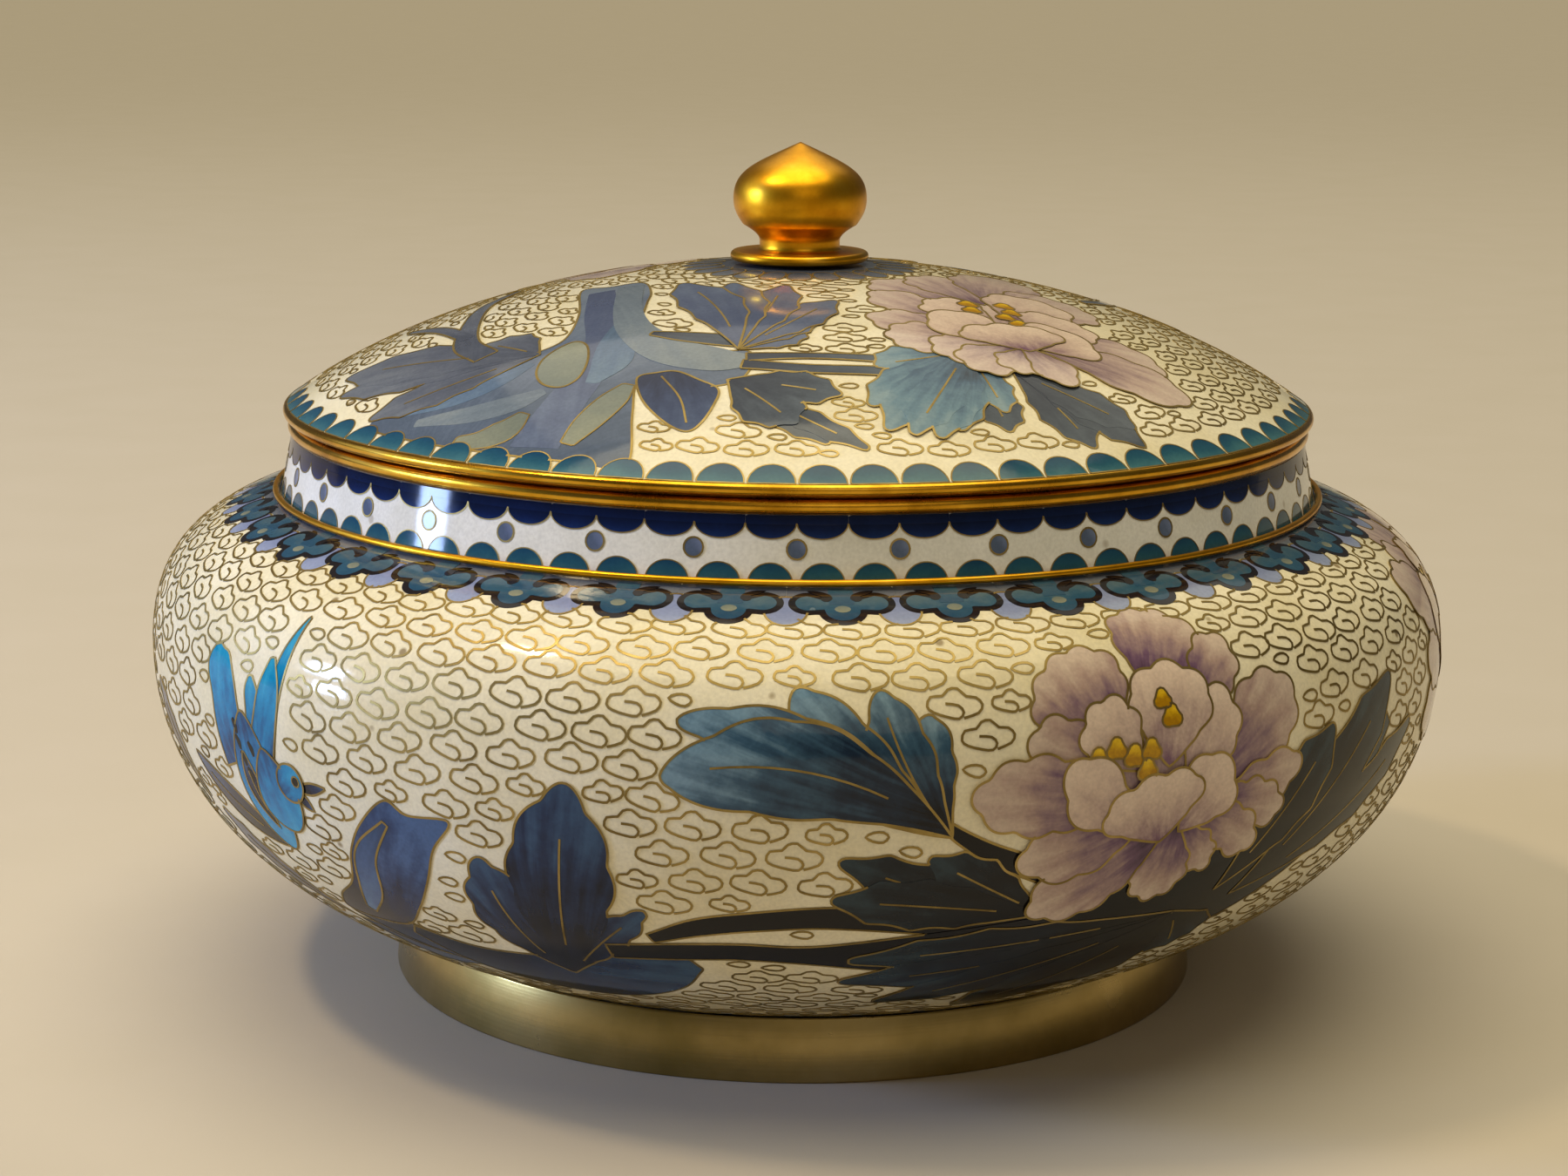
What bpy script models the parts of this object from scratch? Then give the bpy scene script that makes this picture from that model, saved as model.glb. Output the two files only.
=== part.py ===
"""Covered cloisonne bowl, 200 mm across: copper shells under enamel, with brass rims, foot and finial.

Metres, +Z up. The origin is the centre of the foot ring's underside, on the surface that the bowl stands on.
"""

import math

import bpy

# Driving dimensions, in metres and degrees.

ROUND_STEPS = 60            # facets round the bowl, the lid and their rings
FINIAL_STEPS = 24           # facets round the finial
SEAT_GAP = 0.0003           # clearance between pieces that touch

SHELL_WALL = 0.0018         # copper with enamel on both sides

FOOT_RADIUS = 0.0635        # outside, on the table
FOOT_TAPER = 0.0011         # how much narrower the foot ring is at its top
FOOT_WALL = 0.0016
FOOT_HEIGHT = 0.0095

BASE_INSET = 0.0085         # from the foot ring's outside to the edge of the flat base
BASE_SLOPE = 16.8           # of the underside where it leaves the flat base
BELLY_RADIUS = 0.1000
BELLY_RISE = 0.0465         # from the flat base to the widest line
BELLY_FLARE = 0.0253        # pull of the underside's slope on the curve
BELLY_ROUND = 0.0249        # pull of the upright side below the widest line

NECK_RADIUS = 0.0801        # outside, at the shoulder
NECK_TAPER = 0.0018
NECK_HEIGHT = 0.0093
SHOULDER_RISE = 0.0221      # from the widest line to the neck's foot
SHOULDER_SLOPE = 18.0
SHOULDER_ROUND = 0.0165     # pull of the upright side above the widest line
SHOULDER_FLAT = 0.0093      # pull of the shoulder's slope

NECK_RING_THICKNESS = 0.0010

RIM_HEIGHT = 0.0019         # of the band on the bowl's mouth
RIM_OVERHANG = 0.0006       # how far that band stands out from the neck
LID_OVERHANG = 0.0007       # how far the lid's band stands out from the bowl's
LID_RIM_HEIGHT = 0.0014
LID_SEAT_GAP = 0.0004       # the dark line between the two bands
LIP_DEPTH = 0.0060          # how far the lid's lip drops into the mouth
LIP_WALL = 0.0012
LIP_CLEARANCE = 0.0006      # between the lip and the mouth

LID_RISE = 0.0211           # from the lid's band to its crown
LID_SPREAD = 0.1000         # half width of the ellipse that the dome is cut from

FINIAL_FLANGE_RADIUS = 0.0107
FINIAL_FLANGE_HEIGHT = 0.0016
FINIAL_NECK_RADIUS = 0.0062
FINIAL_NECK_HEIGHT = 0.0024
FINIAL_CUP_HEIGHT = 0.0016  # the cone between the neck and the onion
FINIAL_CUP_RADIUS = 0.0088
ONION_RADIUS = 0.0103
ONION_LOWER_HEIGHT = 0.0039
ONION_UPPER_HEIGHT = 0.0087
ONION_SHOULDER = 0.0044     # pull of the onion's upright side
ONION_POINT_SLOPE = 25.0
ONION_POINT_PULL = 0.0078   # length of the nearly straight run to the point


def bezier(start, start_pull, end_pull, end, pieces):
    """Points of one Bezier arc, both ends included."""
    points = []
    for i in range(pieces + 1):
        t = i / pieces
        s = 1 - t
        weights = (s ** 3, 3 * s * s * t, 3 * s * t * t, t ** 3)
        arms = (start, start_pull, end_pull, end)
        points.append(tuple(sum(w * p[k] for w, p in zip(weights, arms)) for k in (0, 1)))
    return points


def step_from(point, degrees, length):
    """The point that lies a length away in a direction, measured from straight out."""
    angle = math.radians(degrees)
    return (point[0] + length * math.cos(angle), point[1] + length * math.sin(angle))


def raised(points, rise):
    """The outline moved up."""
    return [(r, z + rise) for r, z in points]


def height_at(points, radius):
    """Height of an outline that runs outwards, where it reaches a radius."""
    for (r0, z0), (r1, z1) in zip(points, points[1:]):
        if min(r0, r1) <= radius <= max(r0, r1) and r0 != r1:
            return z0 + (z1 - z0) * (radius - r0) / (r1 - r0)
    return points[-1][1]


def offset(points, distance):
    """The outline moved to its left by a distance, with mitred corners; ends on the axis stay on it."""
    directions = []
    for (r0, z0), (r1, z1) in zip(points, points[1:]):
        length = math.hypot(r1 - r0, z1 - z0)
        directions.append(((r1 - r0) / length, (z1 - z0) / length))
    moved = []
    for i, (r, z) in enumerate(points):
        before = directions[max(i - 1, 0)]
        after = directions[min(i, len(directions) - 1)]
        normal = (-(before[1] + after[1]), before[0] + after[0])
        size = math.hypot(*normal)
        normal = (normal[0] / size, normal[1] / size)
        mitre = distance / (normal[0] * -after[1] + normal[1] * after[0])
        moved.append((0.0 if r == 0 else r + normal[0] * mitre, z + normal[1] * mitre))
    return moved


def ring_outline(outer, inner):
    """A closed outline from an outer side that runs down and an inner side that runs down."""
    return outer + inner[::-1]


def finish_material(name, colour, metallic, roughness):
    """A Principled material of one colour."""
    material = bpy.data.materials.new(name)
    material.use_nodes = True
    shader = material.node_tree.nodes["Principled BSDF"]
    shader.inputs["Base Color"].default_value = (*colour, 1.0)
    shader.inputs["Metallic"].default_value = metallic
    shader.inputs["Roughness"].default_value = roughness
    return material


def turned(name, outline, steps, material, closed=False):
    """Turns an outline of (radius, height) round the Z axis into one closed piece."""
    mesh = bpy.data.meshes.new(name)
    edges = [(i, i + 1) for i in range(len(outline) - 1)]
    if closed:
        edges.append((len(outline) - 1, 0))
    mesh.from_pydata([(r, 0.0, z) for r, z in outline], edges, [])
    piece = bpy.data.objects.new(name, mesh)
    pot.objects.link(piece)

    screw = piece.modifiers.new("Turned", "SCREW")
    screw.steps = steps
    screw.render_steps = steps
    screw.use_merge_vertices = True
    screw.merge_threshold = 0.00001

    bpy.context.view_layer.objects.active = piece
    bpy.ops.object.modifier_apply(modifier=screw.name)
    piece.data.materials.append(material)
    piece.data.shade_smooth()
    piece.data.set_sharp_from_angle(angle=math.radians(35))
    return piece


def clear_scene():
    """Removes the objects that a new file starts with."""
    for item in list(bpy.data.objects):
        bpy.data.objects.remove(item, do_unlink=True)


def bowl_outside():
    """The bowl's outer side from the middle of its base to the top of its neck, standing on its foot."""
    base_edge = (FOOT_RADIUS - BASE_INSET, 0.0)
    belly = (BELLY_RADIUS, BELLY_RISE)
    neck_foot = (NECK_RADIUS, BELLY_RISE + SHOULDER_RISE)

    below = bezier(base_edge, step_from(base_edge, BASE_SLOPE, BELLY_FLARE),
                   step_from(belly, -90, BELLY_ROUND), belly, 9)
    above = bezier(belly, step_from(belly, 90, SHOULDER_ROUND),
                   step_from(neck_foot, -SHOULDER_SLOPE, SHOULDER_FLAT), neck_foot, 6)
    neck_top = (NECK_RADIUS - NECK_TAPER, neck_foot[1] + NECK_HEIGHT)
    outside = [(0.0, 0.0)] + below + above[1:] + [neck_top]

    base_height = FOOT_HEIGHT + SEAT_GAP - height_at(below, FOOT_RADIUS - FOOT_TAPER)
    return raised(outside, base_height)


def make_bowl(outside):
    """The copper shell: outside, mouth edge and inside in one outline."""
    inside = offset(outside, SHELL_WALL)
    mouth_height = outside[-1][1]
    inside[-1] = (outside[-1][0] - SHELL_WALL, mouth_height)
    return turned("bowl", inside + outside[::-1], ROUND_STEPS, ivory_enamel)


def make_foot(outside):
    """The foot ring: a band whose top edge follows the bowl's underside."""
    top_outer = FOOT_RADIUS - FOOT_TAPER
    top_inner = top_outer - FOOT_WALL
    outer = [(top_outer, height_at(outside, top_outer) - SEAT_GAP), (FOOT_RADIUS, 0.0)]
    inner = [(top_inner, height_at(outside, top_inner) - SEAT_GAP), (FOOT_RADIUS - FOOT_WALL, 0.0)]
    return turned("foot_ring", ring_outline(outer, inner), ROUND_STEPS, brushed_brass, closed=True)


def make_neck_ring(outside):
    """The ring in the corner between shoulder and neck: a round bar of five sides."""
    bar = NECK_RING_THICKNESS / 2
    centre_radius = outside[-2][0] + bar + SEAT_GAP
    slope = math.cos(math.radians(SHOULDER_SLOPE))
    shoulder = height_at(list(reversed(outside[-4:-1])), centre_radius)
    centre_height = shoulder + (bar + SEAT_GAP) / slope
    outline = [step_from((centre_radius, centre_height), 90 - 72 * i, bar) for i in range(5)]
    return turned("neck_ring", outline, ROUND_STEPS, gilt_brass, closed=True)


def rounded_band(inner_radius, outer_radius, bottom, height):
    """Outer side, running down, of a band with a half-round edge."""
    bead = height / 2
    middle = (outer_radius - bead, bottom + bead)
    return [(inner_radius, bottom + height)] + [step_from(middle, 90 - 45 * i, bead) for i in range(5)]


def make_bowl_rim(mouth_radius, bottom):
    """The band on the mouth's edge."""
    inner_radius = mouth_radius - SHELL_WALL
    side = rounded_band(inner_radius, mouth_radius + RIM_OVERHANG, bottom, RIM_HEIGHT)
    return turned("bowl_rim", side + [(inner_radius, bottom)], ROUND_STEPS, gilt_brass, closed=True)


def make_lid_rim(mouth_radius, outer_radius, bottom):
    """The band under the dome, with the lip that drops into the mouth."""
    lip_outer = mouth_radius - SHELL_WALL - LIP_CLEARANCE
    lip_inner = lip_outer - LIP_WALL
    side = rounded_band(lip_inner, outer_radius, bottom, LID_RIM_HEIGHT)
    lip = [(lip_outer, bottom), (lip_outer, bottom - LIP_DEPTH), (lip_inner, bottom - LIP_DEPTH)]
    return turned("lid_rim", side + lip, ROUND_STEPS, gilt_brass, closed=True)


def dome_outside(edge_radius, edge_height):
    """The dome's outer side from its crown to its edge: part of an ellipse."""
    edge_share = math.sqrt(1 - (edge_radius / LID_SPREAD) ** 2)
    half_height = LID_RISE / (1 - edge_share)
    crown = edge_height + LID_RISE
    edge_angle = math.asin(edge_radius / LID_SPREAD)
    points = []
    for i in range(9):
        angle = edge_angle * i / 8
        radius = LID_SPREAD * math.sin(angle)
        points.append((radius, crown - half_height * (1 - math.cos(angle))))
    return points


def make_lid(outside):
    """The dome's shell, standing on its lower edge."""
    inside = offset(outside, -SHELL_WALL)
    edge_height = outside[-1][1]
    inside = [point for point in inside if point[1] > edge_height + SHELL_WALL / 2]
    inside.append((outside[-1][0] - SHELL_WALL, edge_height))
    return turned("lid", outside + inside[::-1], ROUND_STEPS, ivory_enamel)


def make_finial(crown):
    """The knob: a round-edged flange, a narrow neck, a cup and a pointed onion, in one piece."""
    flange_top = crown + FINIAL_FLANGE_HEIGHT
    neck_top = flange_top + FINIAL_NECK_HEIGHT
    cup_top = neck_top + FINIAL_CUP_HEIGHT
    widest = (ONION_RADIUS, cup_top + ONION_LOWER_HEIGHT)
    point = (0.0, widest[1] + ONION_UPPER_HEIGHT)

    upper = bezier(point, step_from(point, -ONION_POINT_SLOPE, ONION_POINT_PULL),
                   step_from(widest, 90, ONION_SHOULDER), widest, 7)
    lower = bezier(widest, step_from(widest, -90, ONION_LOWER_HEIGHT / 2),
                   step_from((FINIAL_CUP_RADIUS, cup_top), 55, ONION_LOWER_HEIGHT / 4),
                   (FINIAL_CUP_RADIUS, cup_top), 4)
    bead = FINIAL_FLANGE_HEIGHT / 2
    flange = rounded_band(FINIAL_NECK_RADIUS + bead, FINIAL_FLANGE_RADIUS, crown, FINIAL_FLANGE_HEIGHT)
    neck = [(FINIAL_NECK_RADIUS, neck_top), (FINIAL_NECK_RADIUS, flange_top + bead)]
    outline = upper + lower[1:] + neck + flange + [(0.0, crown)]
    return turned("finial", outline, FINIAL_STEPS, gilt_brass)


clear_scene()
pot = bpy.data.collections.new("enamel_pot")
bpy.context.scene.collection.children.link(pot)

ivory_enamel = finish_material("ivory_enamel", (0.78, 0.72, 0.58), 0.0, 0.16)
brushed_brass = finish_material("brushed_brass", (0.72, 0.54, 0.24), 1.0, 0.34)
gilt_brass = finish_material("gilt_brass", (0.86, 0.58, 0.20), 1.0, 0.14)

bowl_side = bowl_outside()
mouth_radius, mouth_height = bowl_side[-1]
make_bowl(bowl_side)
make_foot(bowl_side)
make_neck_ring(bowl_side)
make_bowl_rim(mouth_radius, mouth_height + SEAT_GAP)

lid_seat = mouth_height + SEAT_GAP + RIM_HEIGHT + LID_SEAT_GAP
lid_radius = mouth_radius + RIM_OVERHANG + LID_OVERHANG
make_lid_rim(mouth_radius, lid_radius, lid_seat)

dome_edge = lid_seat + LID_RIM_HEIGHT + SEAT_GAP
dome_side = dome_outside(lid_radius - LID_RIM_HEIGHT / 2, dome_edge)
make_lid(dome_side)
make_finial(dome_edge + LID_RISE + SEAT_GAP)
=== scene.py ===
"""Looks of the covered cloisonne bowl: turned shells and brass, drawn enamel and wires, light and camera.

Pieces are in metres. Drawings are in millimetres, on a flat sheet that a ground wraps onto its shell.
"""

import logging
import math
from collections.abc import Iterable, Sequence
from dataclasses import dataclass, field
from enum import Enum
from functools import cache

import bmesh
import bpy
import numpy as np
from mathutils import Euler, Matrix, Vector


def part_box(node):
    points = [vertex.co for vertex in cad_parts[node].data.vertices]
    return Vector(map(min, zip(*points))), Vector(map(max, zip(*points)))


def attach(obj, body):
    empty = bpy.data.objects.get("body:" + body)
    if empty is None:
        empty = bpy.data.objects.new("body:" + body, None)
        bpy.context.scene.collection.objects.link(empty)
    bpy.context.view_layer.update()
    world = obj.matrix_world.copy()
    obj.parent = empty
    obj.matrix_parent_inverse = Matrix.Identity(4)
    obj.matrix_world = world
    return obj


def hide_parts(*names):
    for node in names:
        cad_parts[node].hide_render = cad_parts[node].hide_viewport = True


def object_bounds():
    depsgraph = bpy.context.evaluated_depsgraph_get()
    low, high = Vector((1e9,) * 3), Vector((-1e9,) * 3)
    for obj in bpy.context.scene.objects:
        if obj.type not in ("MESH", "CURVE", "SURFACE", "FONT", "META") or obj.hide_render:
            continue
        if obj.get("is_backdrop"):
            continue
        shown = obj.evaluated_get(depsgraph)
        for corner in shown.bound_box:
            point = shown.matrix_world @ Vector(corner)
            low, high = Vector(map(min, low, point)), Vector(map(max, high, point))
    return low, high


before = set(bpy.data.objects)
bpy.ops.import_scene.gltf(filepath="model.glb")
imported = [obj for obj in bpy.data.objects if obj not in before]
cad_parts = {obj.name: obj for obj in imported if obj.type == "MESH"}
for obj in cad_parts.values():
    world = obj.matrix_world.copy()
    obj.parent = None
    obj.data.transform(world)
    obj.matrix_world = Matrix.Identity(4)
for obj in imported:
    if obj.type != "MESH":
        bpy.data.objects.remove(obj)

log = logging.getLogger("covered_bowl")

MM = 0.001
ROUND_STEPS = 240                   # faces round a turned piece
SHARP_ANGLE = math.radians(40)      # between two faces whose edge counts as sharp
SHEET_RADIUS = 100.0                # mm, of the round that a side ground's sheet is measured on
CELL_GRID = 1.4                     # mm, longest face of an enamel cell
CELL_EDGE = 0.55                    # mm between the points of its edge
FAN_START = 0.4                     # how far behind its root the strokes spread out, in its lengths
WIRE_STATION = 0.55                 # mm between the stations of a cell's wire
WIRE_WIDTH = 0.35                   # mm
RIB_WIDTH = 0.30                    # mm, of the wire along the middle of a leaf
RIB_START = 0.25                    # share of the leaf's length where it starts
WIRE_DEPTH = 0.30                   # mm, of the wire's keel under its top
WIRE_PROUD = 0.03                   # mm, of a wire over the enamel beside it
SHORTEST_RUN = 5                    # stations of the shortest stretch of wire that is kept
ENAMEL_DEPTH = 0.28                 # mm, of an enamel cell under its top
FIRST_LIFT = 0.05                   # mm, of the lowest enamel cell over the ground
LAYER_LIFT = 0.02                   # mm, of each further cell that lies over another
CURVE_PIECES = 6                    # straight pieces between two knots of a drawn curve
SEAM = 0.01                         # mm, left at each end of a strip where the next one starts

Array = np.ndarray
Point = tuple[float, float]
Triple = tuple[float, float, float]
Tree = bpy.types.NodeTree
Socket = bpy.types.NodeSocket


# Curves and outlines


def bezier(start: Point, start_pull: Point, end_pull: Point, end: Point, pieces: int) -> Array:
    """Points of one Bezier arc.

    Args:
        start: First point.
        start_pull: Point that the curve heads for as it leaves the start.
        end_pull: Point that the curve comes from as it reaches the end.
        end: Last point.
        pieces: Number of straight pieces.

    Returns:
        The points, both ends included.
    """
    t = np.linspace(0.0, 1.0, pieces + 1)[:, None]
    s = 1.0 - t
    arms = [np.asarray(arm, float) for arm in (start, start_pull, end_pull, end)]
    return s**3 * arms[0] + 3 * s * s * t * arms[1] + 3 * s * t * t * arms[2] + t**3 * arms[3]


def step_from(point: Point, degrees: float, length: float) -> Point:
    """Steps off from a point of an outline.

    Args:
        point: Radius and height.
        degrees: Direction, from straight out.
        length: How far.

    Returns:
        The point reached.
    """
    angle = math.radians(degrees)
    return (point[0] + length * math.cos(angle), point[1] + length * math.sin(angle))


def arc_of(centre: Point, radius: float, first: float, last: float, pieces: int) -> Array:
    """Points of a round arc.

    Args:
        centre: Its centre.
        radius: Its radius.
        first: Direction of the first point, in degrees from straight out.
        last: Direction of the last point.
        pieces: Number of straight pieces.

    Returns:
        The points, both ends included.
    """
    angles = np.radians(np.linspace(first, last, pieces + 1))
    return np.asarray(centre, float) + radius * np.stack([np.cos(angles), np.sin(angles)], axis=1)


def offset(outline: Array, distance: float) -> Array:
    """Moves an open outline to its left, with mitred corners. Points on the axis stay on it.

    Args:
        outline: Radius and height of each point.
        distance: How far; a negative distance moves it to its right.

    Returns:
        The moved outline.
    """
    steps = np.diff(outline, axis=0)
    steps /= np.linalg.norm(steps, axis=1)[:, None]
    before = np.vstack([steps[:1], steps])
    after = np.vstack([steps, steps[-1:]])
    normals = np.stack([-(before + after)[:, 1], (before + after)[:, 0]], axis=1)
    normals /= np.linalg.norm(normals, axis=1)[:, None]
    reach = distance / (normals[:, 1] * after[:, 0] - normals[:, 0] * after[:, 1])
    moved = outline + normals * reach[:, None]
    moved[outline[:, 0] == 0.0, 0] = 0.0
    return moved


def smooth_line(points: Sequence[Point], pieces: int, closed: bool = False) -> Array:
    """A smooth curve through a few points (Catmull-Rom).

    Args:
        points: The points that it passes through.
        pieces: Straight pieces from one point to the next.
        closed: Whether it returns to its first point.

    Returns:
        The curve's points; a closed one doesn't repeat its first point.
    """
    knots = np.asarray(points, float)
    if closed:
        ring = np.vstack([knots[-1:], knots, knots[:2]])
    else:
        ring = np.vstack([2 * knots[0] - knots[1], knots, 2 * knots[-1] - knots[-2]])
    t = (np.arange(pieces) / pieces)[:, None]
    spans = []
    for a, b, c, d in zip(ring, ring[1:], ring[2:], ring[3:]):
        spans.append(0.5 * (2 * b + (c - a) * t + (2 * a - 5 * b + 4 * c - d) * t**2
                            + (3 * b - a - 3 * c + d) * t**3))
    curve = np.vstack(spans)
    return curve if closed else np.vstack([curve, knots[-1:]])


def resampled(path: Array, spacing: float, closed: bool) -> Array:
    """The same line with evenly spaced points.

    Args:
        path: Points of the line.
        spacing: Wanted distance between them.
        closed: Whether the line returns to its first point.

    Returns:
        The new points; a closed line doesn't repeat its first point.
    """
    line = np.vstack([path, path[:1]]) if closed else path
    reached = np.concatenate([[0.0], np.cumsum(np.linalg.norm(np.diff(line, axis=0), axis=1))])
    count = max(3 if closed else 1, round(reached[-1] / spacing))
    wanted = np.linspace(0.0, reached[-1], count + 1)
    even = np.stack([np.interp(wanted, reached, line[:, k]) for k in (0, 1)], axis=1)
    return even[:-1] if closed else even


def rounds_joined(rounds: Sequence[Triple], centre: Point, pieces: int) -> Array:
    """The outline round several overlapping circles.

    Args:
        rounds: Centre and radius of each circle.
        centre: A point that all the circles hold or are seen from.
        pieces: Number of points.

    Returns:
        The closed outline.
    """
    angles = np.linspace(0.0, 2 * math.pi, pieces, endpoint=False)
    rays = np.stack([np.cos(angles), np.sin(angles)], axis=1)
    reach = np.full(pieces, 0.05)
    for x, y, radius in rounds:
        away = np.array([x - centre[0], y - centre[1]])
        along = rays @ away
        aside = along**2 - away @ away + radius**2
        far = along + np.sqrt(np.maximum(aside, 0.0))
        reach = np.maximum(reach, np.where(aside > 0.0, far, 0.0))
    return np.asarray(centre, float) + rays * reach[:, None]


def inside(points: Array, outline: Array) -> Array:
    """Tells which points lie inside a closed outline.

    Args:
        points: The points.
        outline: The outline's points.

    Returns:
        One truth value for each point.
    """
    found = np.zeros(len(points), bool)
    low, high = outline.min(axis=0), outline.max(axis=0)
    near = np.flatnonzero(np.all((points >= low) & (points <= high), axis=1))
    if len(near) == 0:
        return found
    x, y = points[near, 0, None], points[near, 1, None]
    ends = np.roll(outline, -1, axis=0)
    rise = ends[:, 1] - outline[:, 1]
    slope = (ends[:, 0] - outline[:, 0]) / np.where(rise == 0.0, 1.0, rise)
    crossed = ((outline[:, 1] <= y) != (ends[:, 1] <= y)) & (x < outline[:, 0] + (y - outline[:, 1]) * slope)
    found[near] = crossed.sum(axis=1) % 2 == 1
    return found


def counter_clockwise(outline: Array) -> Array:
    """The outline, turned round if it runs clockwise."""
    after = np.roll(outline, -1, axis=0)
    area = np.sum(outline[:, 0] * after[:, 1] - after[:, 0] * outline[:, 1])
    return outline if area > 0 else outline[::-1]


# Finishes


def linear(colour: str) -> tuple[float, float, float, float]:
    """Turns an sRGB hex colour to linear RGBA."""
    parts = (int(colour[i:i + 2], 16) / 255 for i in (1, 3, 5))
    return (*(p / 12.92 if p <= 0.04045 else ((p + 0.055) / 1.055) ** 2.4 for p in parts), 1.0)


def add_node(tree: Tree, kind: str, inputs: dict | None = None,
             stops: Sequence[tuple[float, str]] = (), **settings: object) -> bpy.types.Node:
    """Adds a node with its settings, values and links.

    Args:
        tree: The material's node tree.
        kind: The node's type name, without ShaderNode at its start.
        inputs: A value or an output socket for each named or numbered input.
        stops: Place and colour of each stop, for a colour ramp.
        settings: Properties of the node.

    Returns:
        The new node.
    """
    node = tree.nodes.new("ShaderNode" + kind)
    for name, value in settings.items():
        setattr(node, name, value)
    if stops:
        elements = node.color_ramp.elements
        for element, (place, colour) in zip((elements[0], elements[1]), (stops[0], stops[-1])):
            element.position = place
            element.color = linear(colour)
        for place, colour in stops[1:-1]:
            elements.new(place).color = linear(colour)
    for key, value in (inputs or {}).items():
        if isinstance(value, Socket):
            tree.links.new(value, node.inputs[key])
        else:
            node.inputs[key].default_value = value
    return node


def new_material(name: str) -> tuple[bpy.types.Material, Tree, bpy.types.Node, Socket]:
    """A material with only its Principled shader and output.

    Args:
        name: The material's name.

    Returns:
        The material, its node tree, its shader, and the places on its object.
    """
    material = bpy.data.materials.new(name)
    material.use_nodes = True
    tree = material.node_tree
    place = add_node(tree, "TexCoord").outputs["Object"]
    return material, tree, tree.nodes["Principled BSDF"], place


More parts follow.
